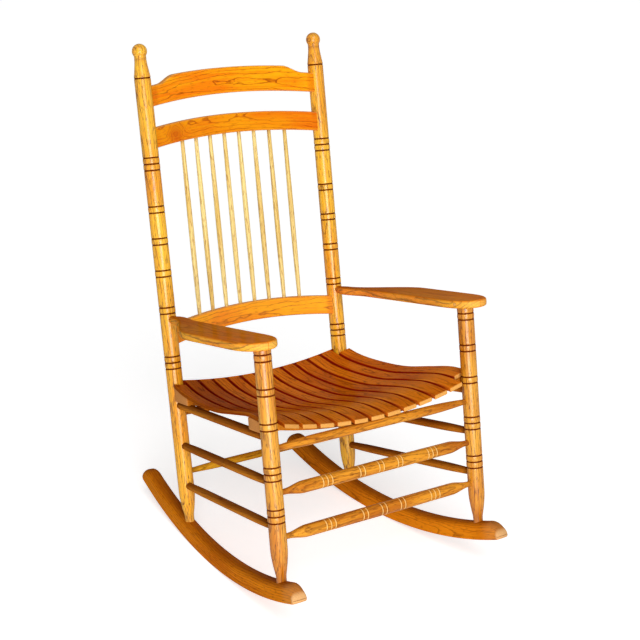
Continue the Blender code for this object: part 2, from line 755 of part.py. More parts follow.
def rocker_outline(drop, shift):
    """Side outline of a rocker as (depth, height) points, its top and ends drawn in by a drop.

    The shift moves both ends along, to keep them square to a rocker that is toed in.
    """
    first = rocker_turn(-ROCKER_FRONT_REACH)
    last = rocker_turn(SEAT_DEPTH + ROCKER_REAR_REACH)
    margin = (ROCKER_NOSE + ROCKER_ROUND) / ROCKER_RADIUS
    before = int((REST_TILT - first - margin) / ROCKER_FACET)
    after = int((last - margin - REST_TILT) / ROCKER_FACET)
    turns = [REST_TILT + (k + 0.5) * ROCKER_FACET for k in range(-before, after)]
    first += (shift + ROCKER_FRONT_EASE * drop) / ROCKER_RADIUS
    last += (shift - ROCKER_REAR_EASE * drop) / ROCKER_RADIUS
    top = ROCKER_HEIGHT - drop
    nose = ROCKER_NOSE - drop
    polar = [(turn, 0.0) for turn in turns]
    polar += reversed(rocker_corner(last, 1, ROCKER_HEEL, 0.0, 1))
    polar += rocker_corner(last, 1, nose, top, -1)
    polar += [(turn, top) for turn in reversed(turns)]
    polar += reversed(rocker_corner(first, -1, nose, top, -1))
    polar += rocker_corner(first, -1, ROCKER_HEEL, 0.0, 1)
    outline = []
    for turn, rise in polar:
        radius = ROCKER_RADIUS - rise
        outline.append((ROCKER_CENTRE_Y + radius * math.sin(turn), ROCKER_CENTRE_Z - radius * math.cos(turn)))
    return outline


def rocker_slices():
    """Distances from a rocker's middle plane and how far the upper edge has dropped there."""
    rounding = [(1 - math.cos(t), 1 - math.sin(t)) for t in spread(0, math.pi / 2, ROUND_STEPS)]
    near = [(ROCKER_THICKNESS / 2 - ROCKER_ROUND * a, ROCKER_ROUND * b) for a, b in rounding]
    return [(-across, drop) for across, drop in near] + near[::-1]


def make_rocker(stance, tag, side):
    """A sawn rocker under a front and a back post, toed in to follow them."""
    toe = (BACK_SPREAD - FRONT_SPREAD) / 2 / SEAT_DEPTH
    rings = []
    for offset, drop in rocker_slices():
        ring = []
        for y, z in rocker_outline(drop, -side * toe * offset):
            ring.append(Vector((side * (FRONT_SPREAD / 2 + toe * y) + offset, y, z)))
        rings.append(ring)
    rocker = place(f"rocker_{tag}", loft(rings), stance, BROWN_OAK)
    for post in ("front", "back"):
        foot = foot_of(side, post)
        low = rocker_top(foot.y) - FOOT_TENON - FIT
        radius = FOOT_DIAMETER / 2 + FIT
        body = turned([(low, radius), (low + 2 * FOOT_TENON, radius)], POST_SIDES)
        cut(rocker, place(f"rocker_{tag}_{post}_socket", body, stance, None, foot, axis_of(side, post)))
    return rocker


def make_posts(stance):
    """The four turned posts, by post and side."""
    posts = {}
    for post in ("front", "back"):
        for tag, side in SIDES.items():
            body = turned(post_profile(post), POST_SIDES)
            name = f"{post}_post_{tag}"
            posts[post, tag] = place(name, body, stance, GOLDEN_OAK, foot_of(side, post), axis_of(side, post))
    return posts


def rung_plan():
    """Every rung: name, the two posts it joins, height, middle diameter and colour."""
    plan = []
    for tag in SIDES:
        pair = ("front", tag), ("back", tag)
        plan.append((f"side_seat_rail_{tag}", pair, SEAT_RAIL_HEIGHT, SEAT_RAIL_DIAMETER, BROWN_OAK))
        plan.append((f"upper_side_stretcher_{tag}", pair, UPPER_SIDE_HEIGHT, SIDE_RUNG_DIAMETER, BROWN_OAK))
        plan.append((f"lower_side_stretcher_{tag}", pair, LOWER_SIDE_HEIGHT, SIDE_RUNG_DIAMETER, BROWN_OAK))
    front = ("front", "left"), ("front", "right")
    back = ("back", "left"), ("back", "right")
    plan.append(("front_seat_rail", front, front_rail_height(), FRONT_RAIL_DIAMETER, GOLDEN_OAK))
    plan.append(("rear_seat_rail", back, REAR_RAIL_HEIGHT, SEAT_RAIL_DIAMETER, BROWN_OAK))
    plan.append(("rear_stretcher", back, REAR_RUNG_HEIGHT, REAR_RUNG_DIAMETER, BROWN_OAK))
    plan.append(("upper_front_stretcher", front, UPPER_FRONT_HEIGHT, FRONT_RUNG_DIAMETER, GOLDEN_OAK))
    plan.append(("lower_front_stretcher", front, LOWER_FRONT_HEIGHT, FRONT_RUNG_DIAMETER, GOLDEN_OAK))
    return plan


def make_rungs(stance, posts):
    """All rungs, and the holes for them in the posts."""
    for name, (first, second), z, middle, colour in rung_plan():
        ends = rung_ends(SIDES[first[1]], first[0], SIDES[second[1]], second[0], z)
        if name.endswith("front_stretcher"):
            make_rung(name, stance, ends, middle, colour, FRONT_RUNG_SHOULDER, FRONT_SCORES)
        else:
            make_rung(name, stance, ends, middle, colour)
        for key, socket in zip((first, second), rung_sockets(stance, name, ends)):
            cut(posts[key], socket)


def make_back(stance, posts):
    """Bent rails, spindles and the cuts that join them."""
    rails = {rail: make_back_rail(stance, rail) for rail in BACK_RAILS}
    for rail in BACK_RAILS:
        for tag, side in SIDES.items():
            cut(posts["back", tag], rail_mortise(stance, rail, side, tag))
    for number, x in enumerate(spindle_spots(), 1):
        make_spindle(stance, number, x)
        cut(rails["lower_spindle_rail"], spindle_socket(stance, number, x, "low"))
        cut(rails["upper_spindle_rail"], spindle_socket(stance, number, x, "high"))


def make_seat(stance):
    """Slats on two dished cleats."""
    for number in range(1, SLAT_COUNT + 1):
        make_slat(stance, number, number - (SLAT_COUNT + 1) / 2)
    front = make_cleat(stance, "front_cleat", FRONT_CLEAT)
    rear = make_cleat(stance, "rear_cleat", REAR_CLEAT, REAR_LIP)
    for tag, side in SIDES.items():
        saddle = saddle_cutter(stance, tag, side)
        cut(front, saddle)
        cut(rear, saddle)
        cut(rear, post_notch(stance, tag, side))


def main():
    clear_scene()
    stance = make_stance()
    posts = make_posts(stance)
    make_rungs(stance, posts)
    make_back(stance, posts)
    make_seat(stance)
    for tag, side in SIDES.items():
        make_arm(stance, tag, side)
        cut(posts["back", tag], arm_mortise(stance, tag, side))
        make_rocker(stance, tag, side)
    set_down(stance)


main()
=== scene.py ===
"""Looks of a slat-seat rocking chair with paddle arms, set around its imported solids.

The chair is drawn upright, as its maker draws it: the front posts stand plumb on
y = 0, the back is towards +Y, and z = 0 is just above the front posts' feet.
Each finished skin is then leaned back with the stance. Lengths are in metres.
"""

import json
import logging
import math
from collections.abc import Sequence
from dataclasses import dataclass, field
from enum import Enum
from itertools import product
from typing import Any, Union

import bpy
import numpy as np
from mathutils import Matrix
from numpy.typing import NDArray

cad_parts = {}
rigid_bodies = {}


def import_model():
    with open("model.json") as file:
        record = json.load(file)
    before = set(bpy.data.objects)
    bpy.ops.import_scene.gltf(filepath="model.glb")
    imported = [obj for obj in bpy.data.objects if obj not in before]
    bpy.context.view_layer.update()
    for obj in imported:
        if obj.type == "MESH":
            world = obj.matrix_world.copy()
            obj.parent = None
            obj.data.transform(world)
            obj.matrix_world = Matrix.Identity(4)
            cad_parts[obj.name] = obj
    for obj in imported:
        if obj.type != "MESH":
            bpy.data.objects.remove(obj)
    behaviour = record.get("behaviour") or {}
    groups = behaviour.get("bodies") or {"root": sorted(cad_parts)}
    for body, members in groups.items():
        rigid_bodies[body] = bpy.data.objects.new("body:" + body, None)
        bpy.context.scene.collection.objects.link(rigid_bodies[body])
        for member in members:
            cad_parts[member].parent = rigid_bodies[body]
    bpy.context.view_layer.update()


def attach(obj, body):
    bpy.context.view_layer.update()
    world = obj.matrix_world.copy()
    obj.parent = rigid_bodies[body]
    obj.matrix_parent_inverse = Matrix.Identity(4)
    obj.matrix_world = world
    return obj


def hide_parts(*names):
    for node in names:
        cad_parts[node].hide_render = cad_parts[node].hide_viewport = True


Array = NDArray[np.float64]
Colour = tuple[int, int, int]
Pair = tuple[float, float]
Triple = tuple[float, float, float]
Value = Union["Wire", float, tuple[float, ...]]
LOG = logging.getLogger("rocking_chair")
BODY = "root"
# The golden section, which spreads the billets over the log
GOLDEN_SHARE = 0.6180339887
# Spread of a groove's bell, as a share of the groove's width
GROOVE_SPREAD = 0.42
# Largest radius of a corner, as a share of half the narrower side
MOST_ROUND = 0.98
# Places of the points on a flat between two rounded corners
FLAT_SHARES = (0.05, 0.5, 0.95)
# Angle from which an edge is drawn sharp
CREASE = math.radians(42)
# Digits to which stations are rounded, and two lengths too short to be seen
DIGITS = 6
HAIR = 1e-5
SLIGHT = 1e-4


class Side(Enum):
    """The sides of the chair, as signs of X."""

    LEFT = -1
    RIGHT = 1

    @property
    def tag(self) -> str:
        """Ending of the names of the pieces on this side."""
        return self.name.lower()


class Post(Enum):
    """The two kinds of post."""

    FRONT = "front"
    BACK = "back"


class Mark(Enum):
    """Channels of the marks that a skin carries for its finish; some of them are painted shade and painted
    highlights.
    """

    # Burnt rings and scores, and painted shade on the seat, the arms' tops and round the pins
    BURN_AND_SHADE = 0
    PALE = 1
    BUTT = 2
    # Patina, and painted shade in the seat's gaps and on the tops of the arms, the rockers and the brown
    # rungs
    PATINA_AND_SHADE = 3


# shader maths


class Wire:
    """A shader socket that takes part in Python expressions."""

    def __init__(self, graph: "Graph", socket: bpy.types.NodeSocket) -> None:
        """Keeps the socket and the graph that it belongs to."""
        self.graph = graph
        self.socket = socket

    def maths(self, operation: str, first: Value, second: Value = 0.0) -> "Wire":
        """Adds a Math node.

        Args:
            operation: The node's operation.
            first: Its first value.
            second: Its second value.

        Returns:
            The node's result.
        """
        return self.graph.node("ShaderNodeMath", {"operation": operation}, {0: first, 1: second})

    def __add__(self, other: Value) -> "Wire":
        """Sum."""
        return self.maths("ADD", self, other)

    def __radd__(self, other: Value) -> "Wire":
        """Sum with a number first."""
        return self.maths("ADD", other, self)

    def __sub__(self, other: Value) -> "Wire":
        """Difference."""
        return self.maths("SUBTRACT", self, other)

    def __rsub__(self, other: Value) -> "Wire":
        """Difference from a number."""
        return self.maths("SUBTRACT", other, self)

    def __mul__(self, other: Value) -> "Wire":
        """Product."""
        return self.maths("MULTIPLY", self, other)

    def __rmul__(self, other: Value) -> "Wire":
        """Product with a number first."""
        return self.maths("MULTIPLY", other, self)

    def __truediv__(self, other: Value) -> "Wire":
        """Quotient."""
        return self.maths("DIVIDE", self, other)

    def __rtruediv__(self, other: Value) -> "Wire":
        """Quotient of a number."""
        return self.maths("DIVIDE", other, self)

    def __pow__(self, other: Value) -> "Wire":
        """Power."""
        return self.maths("POWER", self, other)

    def __rpow__(self, other: Value) -> "Wire":
        """Power of a number."""
        return self.maths("POWER", other, self)

    def fraction(self) -> "Wire":
        """What is left above the whole number."""
        return self.maths("FRACT", self)

    def larger(self, other: Value) -> "Wire":
        """The larger of two values."""
        return self.maths("MAXIMUM", self, other)


class Graph:
    """A node tree that is filled by calls."""

    def __init__(self, tree: bpy.types.NodeTree) -> None:
        """Empties the tree."""
        self.tree = tree
        tree.nodes.clear()

    def node(
        self,
        kind: str,
        settings: dict[str, Any],
        sockets: dict[Union[int, str], Value],
        output: Union[int, str] = 0,
    ) -> Wire:
        """Adds a node.

        Args:
            kind: The node's type.
            settings: Its settings, which are set first.
            sockets: The values or links of its sockets.
            output: The output that is wanted.

        Returns:
            That output, or the first input of a node that has none.
        """
        made = self.tree.nodes.new(kind)
        for name, value in settings.items():
            setattr(made, name, value)
        for key, value in sockets.items():
            if isinstance(value, Wire):
                self.tree.links.new(value.socket, made.inputs[key])
            else:
                made.inputs[key].default_value = value
        return Wire(self, made.outputs[output] if len(made.outputs) else made.inputs[0])

    def attribute(self, name: str, output: str) -> Wire:
        """Reads an attribute of the skin."""
        return self.node("ShaderNodeAttribute", {"attribute_name": name}, {}, output)

    def noise(self, at: Wire, scale: Triple, detail: float = 2.0) -> Wire:
        """Noise that is stretched differently along each axis.

        Args:
            at: The place, in metres.
            scale: Lumps to the metre along each axis.
            detail: Octaves of finer noise.

        Returns:
            A value about one half.
        """
        spot = self.node("ShaderNodeVectorMath", {"operation": "MULTIPLY"}, {0: at, 1: scale})
        return self.node("ShaderNodeTexNoise", {}, {"Vector": spot, "Scale": 1.0, "Detail": detail})

    def parts(self, kind: str, name: str, whole: Wire) -> list[Wire]:
        """The three parts of a colour or a vector."""
        return [self.node(kind, {}, {name: whole}, k) for k in range(3)]

    def step(self, value: Value, low: float, high: float) -> Wire:
        """Eases from 0 to 1 as a value goes from low to high."""
        limits = {"Value": value, "From Min": low, "From Max": high}
        return self.node("ShaderNodeMapRange", {"interpolation_type": "SMOOTHSTEP"}, limits)

    def mix(self, share: Value, first: Value, second: Value) -> Wire:
        """Mixes two colours."""
        return self.node("ShaderNodeMix", {"data_type": "RGBA"}, {0: share, 6: first, 7: second}, 2)


def linear(colour: Colour) -> tuple[float, float, float, float]:
    """Linear colour of a display colour, by the sRGB curve.

    Args:
        colour: Red, green and blue from 0 to 255.

    Returns:
        Red, green, blue and an opaque alpha.
    """
    share = np.asarray(colour) / 255
    light = np.where(share <= 0.04045, share / 12.92, ((share + 0.055) / 1.055) ** 2.4)
    return (*(float(v) for v in light), 1.0)


def grey(level: float) -> tuple[float, float, float, float]:
    """Opaque linear grey of a level."""
    return (level, level, level, 1.0)


# finishes


@dataclass(frozen=True)
class Grain:
    """How oak is figured: lumps of each noise to the metre, and how strongly each one tells.

    A wear is the least strength of a mark, and what its noise adds.
    """

    sweep: Triple = (9.0, 9.0, 3.2)
    sweep_reach: float = 0.03
    ripple: Triple = (45.0, 45.0, 14.0)
    jitter: Triple = (130.0, 130.0, 60.0)
    jitter_reach: float = 0.0016
    ring_start: float = 0.06
    ring_hold: float = 0.08
    fibre: Triple = (300.0, 300.0, 8.0)
    pore: Triple = (330.0, 330.0, 60.0)
    pore_edge: Pair = (0.55, 0.66)
    cloud: Triple = (13.0, 13.0, 4.0)
    cloud_edge: Pair = (0.3, 0.7)
    cloud_fibre: float = 0.6
    speckle: Triple = (420.0, 420.0, 20.0)
    line_wear: Pair = (0.3, 1.0)
    fleck_wear: Pair = (0.5, 0.5)
    patina_and_shade_wear: Pair = (0.75, 0.5)
    butt_wear: Pair = (0.5, 0.8)
    pale_wear: Pair = (0.55, 0.8)
    burn_and_shade_wear: Pair = (0.7, 0.6)
    line_gloss: float = 0.06
    fleck_gloss: float = 0.12
    butt_gloss: float = 0.12
    cloud_gloss: float = 0.15
    fibre_height: float = 0.5
    fleck_height: float = 0.8
    line_height: float = 0.4
    relief: float = 0.25
    relief_depth: float = 0.0006


@dataclass(frozen=True)
class Finish:
    """Varnished oak: its tones, its figure and its gloss."""

    slot: str
    light: Colour
    deep: Colour
    line: Colour
    # Tone of patina, also used for painted shade
    patina_and_shade: Colour
    butt: Colour = (226, 170, 96)
    pale: Colour = (255, 222, 150)
    # Tone of burnt lines, also used for painted shade
    burn_and_shade: Colour = (104, 34, 2)
    varnish: Colour = (255, 226, 170)
    pitch: float = 0.0048
    taper: float = 0.02
    wave: float = 0.006
    trail: float = 0.3
    figure: float = 0.6
    fleck: float = 0.6
    roughness: float = 0.5
    coat: float = 0.3
    coat_roughness: float = 0.2
    coat_index: float = 1.5
    gleam: float = 0.05
    grain: Grain = Grain()

    def material(self) -> bpy.types.Material:
        """Makes the material.

        The growth rings are cones about the pith: distance from the pith, less a
        taper along the grain, counted off in pitches. Each ring starts with a dark
        porous line that fades outwards. Flecks are short pores along the grain. The
        marks are laid over them in turn, each worn by a noise.

        Returns:
            The material, which reads the skin's wood and marks.
        """
        made = bpy.data.materials.new(self.slot)
        made.use_nodes = True
        graph, grain = Graph(made.node_tree), self.grain
        wood = graph.attribute("wood", "Vector")
        marks = graph.attribute("marks", "Color")
        patina_and_shade = graph.attribute("marks", "Alpha")
        burn_and_shade, pale, butt = graph.parts("ShaderNodeSeparateColor", "Color", marks)
        across, through, along = graph.parts("ShaderNodeSeparateXYZ", "Vector", wood)

        sweep = graph.noise(wood, grain.sweep, 1.0) - 0.5
        ripple = graph.noise(wood, grain.ripple) - 0.5
        jitter = graph.noise(wood, grain.jitter) - 0.5
        reach = (across * across + through * through) ** 0.5 - along * self.taper
        reach = reach + sweep * grain.sweep_reach + ripple * self.wave + jitter * grain.jitter_reach
        band = (reach / self.pitch).fraction()
        fall = graph.step(band, grain.ring_hold, self.trail)
        early = graph.step(band, 0.0, grain.ring_start) * (1.0 - fall)
        fibre = graph.noise(wood, grain.fibre, 3.0)
        fleck = graph.step(graph.noise(wood, grain.pore), *grain.pore_edge)
        cloud = graph.noise(wood, grain.cloud, 3.0)
        speckle = graph.noise(wood, grain.speckle)

        shade = graph.step(cloud + (fibre - 0.5) * grain.cloud_fibre, *grain.cloud_edge)
        tone = graph.mix(shade, linear(self.light), linear(self.deep))
        layers = (
            (early, fibre, grain.line_wear, self.figure, self.line),
            (fleck, early, grain.fleck_wear, self.fleck, self.line),
            (patina_and_shade, cloud, grain.patina_and_shade_wear, 1.0, self.patina_and_shade),
            (butt, speckle, grain.butt_wear, 1.0, self.butt),
            (pale, fibre, grain.pale_wear, 1.0, self.pale),
            (burn_and_shade, fibre, grain.burn_and_shade_wear, 1.0, self.burn_and_shade),
        )
        for mark, noise, (least, swing), strength, colour in layers:
            tone = graph.mix(mark * (least + noise * swing) * strength, tone, linear(colour))

        gloss = self.roughness + early * grain.line_gloss + fleck * grain.fleck_gloss
        gloss = gloss + butt * grain.butt_gloss + (cloud - 0.5) * grain.cloud_gloss
        height = fibre * grain.fibre_height - fleck * grain.fleck_height - early * grain.line_height
        relief = {"Strength": grain.relief, "Distance": grain.relief_depth, "Height": height}
        sockets: dict[Union[int, str], Value] = {
            "Base Color": tone,
            "Roughness": gloss,
            "Normal": graph.node("ShaderNodeBump", {}, relief),
            "Specular IOR Level": self.gleam,
            "Coat Weight": (1.0 - burn_and_shade) * self.coat,
            "Coat Roughness": self.coat_roughness,
            "Coat IOR": self.coat_index,
            "Coat Tint": linear(self.varnish),
        }
        shader = graph.node("ShaderNodeBsdfPrincipled", {}, sockets)
        graph.node("ShaderNodeOutputMaterial", {}, {"Surface": shader})
        return made


class Oak(Enum):
    """The chair's finishes."""

    GOLDEN = Finish(
        "golden_oak", (255, 202, 52), (236, 156, 20), (108, 46, 4), (150, 80, 14),
        pitch=0.006, figure=0.65, fleck=1.0, coat=0.28, coat_roughness=0.26, coat_index=2.2, gleam=0.0,
    )
    TAWNY = Finish(
        "golden_oak", (232, 170, 50), (202, 122, 18), (96, 40, 4), (140, 72, 14),
        pitch=0.006, figure=0.65, fleck=1.0, coat=0.3, coat_roughness=0.26, coat_index=2.2, gleam=0.0,
    )
    HONEY = Finish(
        "golden_oak", (228, 158, 46), (186, 108, 18), (104, 50, 6), (130, 68, 10),
        pale=(252, 218, 146), pitch=0.006, figure=0.6, fleck=1.0, coat=0.3, coat_roughness=0.4,
    )
    AMBER = Finish(
        "amber_oak", (255, 174, 14), (244, 128, 8), (150, 56, 0), (196, 82, 4),
        pitch=0.008, wave=0.014, trail=0.2, figure=0.8, fleck=0.6, coat=0.15, gleam=0.0,
    )
    # Its patina tone is the painted shade on the arms' tops
    ARM = Finish(
        "amber_oak", (255, 184, 42), (250, 134, 14), (84, 30, 2), (255, 136, 18),
        butt=(255, 202, 92), pitch=0.007, wave=0.009, trail=0.5, figure=0.72,
        coat=0.045, coat_roughness=0.12, gleam=0.0,
    )
    # Its patina tone is partly the painted shade on the brown rungs' tops
    BROWN = Finish(
        "brown_oak", (216, 134, 34), (182, 100, 16), (104, 48, 4), (92, 42, 4),
        butt=(220, 154, 92), coat=0.04, gleam=0.0,
    )
    # Its patina tone is the painted shade on the rockers' upper rounding
    ROCKER = Finish(
        "brown_oak", (236, 140, 20), (206, 110, 10), (112, 52, 4), (118, 54, 4),
        butt=(232, 184, 128), coat=0.03, gleam=0.0,
    )
    STRAW = Finish(
        "brown_oak", (236, 172, 40), (206, 136, 24), (112, 60, 8), (118, 64, 8),
        coat=0.03, gleam=0.0,
    )
    # Its pale tone paints the highlight on the slats' front roll, and its patina tone the shade in the gaps
    SEAT = Finish(
        "seat_oak", (238, 133, 22), (204, 99, 12), (108, 38, 3), (160, 26, 6), (228, 168, 88),
        pale=(250, 158, 52), figure=0.5, coat=0.05, gleam=0.0,
    )
    PALE = Finish(
        "pale_oak", (248, 228, 154), (228, 196, 110), (160, 104, 40), (176, 120, 40),
        figure=0.6, fleck=0.9, coat=0.2,
    )


# skins


def smooth(value: Array) -> Array:
    """Eases from 0 to 1 as each value goes from 0 to 1: t squared times (3 - 2 t)."""
    t = np.clip(value, 0.0, 1.0)
    return t * t * (3 - 2 * t)


def fade(value: Array, start: float, length: float) -> Array:
    """Eases from 1 to 0 as each value goes on from the start by the length."""
    return 1 - smooth((value - start) / length)


def grouped(groups: Sequence[tuple[float, int]], pitch: float) -> Array:
    """Places of lines in groups, a pitch apart about the middle of each group.

    Args:
        groups: The middle of each group, and the lines in it.
        pitch: Distance between the lines.

    Returns:
        The places, group by group.
    """
    spots = [middle + (np.arange(count) - (count - 1) / 2) * pitch for middle, count in groups]
    return np.concatenate(spots)


def grooves(at: Array, spots: Array, width: float) -> Array:
    """Turned grooves: a bell about each spot, exp of minus the square of the distance.

    Args:
        at: Places along the axis.
        spots: Middles of the grooves.
        width: Width of a groove.

    Returns:
        Share of the grooves' depth at each place.
    """
    gap = (at[:, None] - spots) / (width * GROOVE_SPREAD)
    return np.exp(-(gap**2)).max(1)


def skin_faces(count: int, around: int) -> tuple[Array, Array]:
    """Faces over rings of points, closed round each ring and at both ends.

    Args:
        count: Number of rings.
        around: Points in each ring.

    Returns:
        Quads between neighbouring rings, and the triangles of the two end fans,
        whose middles are the two points after the last ring.
    """
    ring = np.arange(count - 1)[:, None] * around
    here = np.arange(around)[None, :]
    there = (here + 1) % around
    quads = np.stack([ring + here, ring + there, ring + around + there, ring + around + here], -1)
    first, last, end = count * around, count * around + 1, (count - 1) * around
    low = np.stack([np.full(around, first), there[0], here[0]], -1)
    high = np.stack([np.full(around, last), end + here[0], end + there[0]], -1)
    return quads.reshape(-1, 4), np.concatenate([low, high])


@dataclass
class Skin:
    """A closed skin over rings of points, with the wood it is cut from and its marks."""

    rings: Array
    wood: Array
    marks: Array = field(init=False)

    def __post_init__(self) -> None:
        """Starts with no marks."""
        self.marks = np.zeros((*self.rings.shape[:2], len(Mark)))

    def mark(self, kind: Mark, share: Array) -> "Skin":
        """Adds a mark.

        Args:
            kind: The mark.
            share: How strong it is, for each ring or for each point.

        Returns:
            The skin itself.
        """
        whole = share[:, None] if share.ndim == 1 else share
        self.marks[..., kind.value] = np.maximum(self.marks[..., kind.value], np.clip(whole, 0, 1))
        return self

    def closed(self, values: Array) -> Array:
        """The values of every point, with the middles of both ends after them."""
        return np.concatenate([values.reshape(-1, values.shape[-1]), values[[0, -1]].mean(1)])

    def mesh(self, name: str, stance: "Stance") -> bpy.types.Mesh:
        """Makes the mesh, with its faces pointing outwards.

        Args:
            name: The mesh's name.
            stance: The lean of the chair.

        Returns:
            The mesh, with the attributes that the finishes read.
        """
        points = stance.lean(self.closed(self.rings))
        quads, fans = skin_faces(*self.rings.shape[:2])
        a, b, c, d = (points[quads[:, k]] for k in range(4))
        volume = np.einsum("ij,ij->i", a, np.cross(b, c) + np.cross(c, d)).sum()
        e, f, g = (points[fans[:, k]] for k in range(3))
        volume += np.einsum("ij,ij->i", e, np.cross(f, g)).sum()
        if volume < 0:
            quads, fans = quads[:, ::-1], fans[:, ::-1]
        mesh = bpy.data.meshes.new(name)
        mesh.from_pydata(points.tolist(), [], [*quads.tolist(), *fans.tolist()])
        mesh.shade_smooth()
        mesh.set_sharp_from_angle(angle=CREASE)
        wood = mesh.attributes.new("wood", "FLOAT_VECTOR", "POINT")
        wood.data.foreach_set("vector", self.closed(self.wood).ravel())
        marks = mesh.attributes.new("marks", "FLOAT_COLOR", "POINT")
        marks.data.foreach_set("color", self.closed(self.marks).ravel())
        return mesh


@dataclass(frozen=True)
class Billet:
    """Where a piece was cut from the log, from its number in the chair."""

    number: int
    spread: float = 0.016
    depth: float = 0.05
    depth_shares: Pair = (0.7, 0.6)
    strides: Triple = (1.0, 2.3, 3.7)
    log_length: float = 4.0

    def cut(self, local: Array) -> Array:
        """Moves a piece's own coordinates to the log's, with the pith on the Z axis.

        Args:
            local: Distances across, through and along the piece.

        Returns:
            The same in the log.
        """
        one, two, three = (((self.number + 1) * GOLDEN_SHARE * k) % 1.0 for k in self.strides)
        least, swing = self.depth_shares
        aside, deep = self.spread * (2 * one - 1), self.depth * (least + swing * two)
        return local + np.array([aside, deep, self.log_length * three])


def turned(start: Array, along: Array, stations: Array, radii: Array, sides: int) -> tuple[Array, Array]:
    """Carries a circle along a straight axis.

    Args:
        start: Where the stations are measured from.
        along: Direction of the axis.
        stations: Distances along the axis.
        radii: Radius at each station.
        sides: Points in each circle.

    Returns:
        The rings, and the same points in the piece's own coordinates.
    """
    axis = along / np.linalg.norm(along)
    aside = np.cross(axis, np.eye(3)[np.argmin(np.abs(axis))])
    aside /= np.linalg.norm(aside)
    other = np.cross(axis, aside)
    turn = 2 * np.pi * np.arange(sides) / sides
    local = np.empty((len(stations), sides, 3))
    local[..., 0] = radii[:, None] * np.cos(turn)
    local[..., 1] = radii[:, None] * np.sin(turn)
    local[..., 2] = stations[:, None]
    return start + local @ np.stack([aside, other, axis]), local


def soft_section(
    half: Array, low: Array, high: Array, soft_low: float, soft_high: float, steps: int = 5
) -> Array:
    """Rectangles with rounded corners, one for each station.

    A corner is a quarter circle about a point that stands in from both edges by its
    radius; three points lie on each flat, two of them close to its ends.

    Args:
        half: Half the width.
        low: Height of the lower edge.
        high: Height of the upper edge.
        soft_low: Radius of the lower corners.
        soft_high: Radius of the upper corners.
        steps: Points on each corner.

    Returns:
        (distance across, height) of each point of each station.
    """
    most = np.minimum(half, (high - low) / 2) * MOST_ROUND
    soft = np.minimum(np.array([soft_high, soft_high, soft_low, soft_low])[None, :], most[:, None])
    across = np.array([1, -1, -1, 1])
    up = np.array([1, 1, 0, 0])
    turn = np.pi / 2 * (np.arange(4)[:, None] + np.linspace(0, 1, steps)[None, :])
    x = across * (half[:, None] - soft)
    z = np.where(up == 1, high[:, None] - soft, low[:, None] + soft)
    round_x, round_z = soft[..., None] * np.cos(turn), soft[..., None] * np.sin(turn)
    corner = np.stack([x[..., None] + round_x, z[..., None] + round_z], -1)
    end = corner[:, :, -1:, :]
    begin = np.roll(corner, -1, axis=1)[:, :, :1, :]
    ring = np.concatenate([corner, end + (begin - end) * np.array(FLAT_SHARES)[:, None]], axis=2)
    return ring.reshape(len(half), -1, 2)


def eased_ends(length: float, ease: float, steps: int, inner: int) -> tuple[Array, Array]:
    """Stations along a board with rounded arrises at its ends.

    Args:
        length: Length of the board.
        ease: Radius of the arrises.
        steps: Stations on each arris.
        inner: Stations between them.

    Returns:
        The stations, and how far each section is drawn in: ease times (1 - sine).
    """
    turn = np.linspace(0, np.pi / 2, steps)
    start = ease * (1 - np.cos(turn))
    inset = ease * (1 - np.sin(turn))
    middle = np.linspace(ease, length - ease, inner + 2)[1:-1]
    stations = np.concatenate([start, middle, length - start[::-1]])
    return stations, np.concatenate([inset, np.zeros(inner), inset[::-1]])


@dataclass(frozen=True)
class Stance:
    """How the upright chair leans back to balance on its rockers."""

    tilt: float = math.radians(11.6)
    back: float = -0.3179
    lift: float = 0.1132

    def matrix(self) -> Matrix:
        """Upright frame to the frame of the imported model."""
        return Matrix.Translation((0, self.back, self.lift)) @ Matrix.Rotation(-self.tilt, 4, "X")

    def lean(self, points: Array) -> Array:
        """Leans points back."""
        whole = np.array(self.matrix())
        return points @ whole[:3, :3].T + whole[:3, 3]


class Workshop:
    """Makes the pieces, finishes them and puts them in the place of the solids."""

    def __init__(self, stance: Stance) -> None:
        """Makes the finishes.

        Args:
            stance: The lean of the chair.
        """
        self.stance = stance
        self.finishes = {oak: oak.value.material() for oak in Oak}
        self.count = 0

    def billet(self, **sizes: float) -> Billet:
        """The next billet."""
        self.count += 1
        return Billet(self.count, **sizes)

    def add(self, name: str, skin: Skin, oak: Oak, node: str | None = None) -> bpy.types.Object:
        """Adds a finished piece.

        Args:
            name: The piece's name.
            skin: Its skin.
            oak: Its finish.
            node: The solid that it stands for.

        Returns:
            The piece.
        """
        mesh = skin.mesh(name, self.stance)
        mesh.materials.append(self.finishes[oak])
        piece = bpy.data.objects.new(name, mesh)
        bpy.context.scene.collection.objects.link(piece)
        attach(piece, BODY)
        if node is not None:
            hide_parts(node)
        LOG.info("%s: %d faces in %s", name, len(mesh.polygons), oak.value.slot)
        return piece

    def replace(self, node: str, skin: Skin, oak: Oak) -> bpy.types.Object:
        """Adds a piece that stands for a solid."""
        return self.add(f"{node}_oak", skin, oak, node)


# sub-assemblies


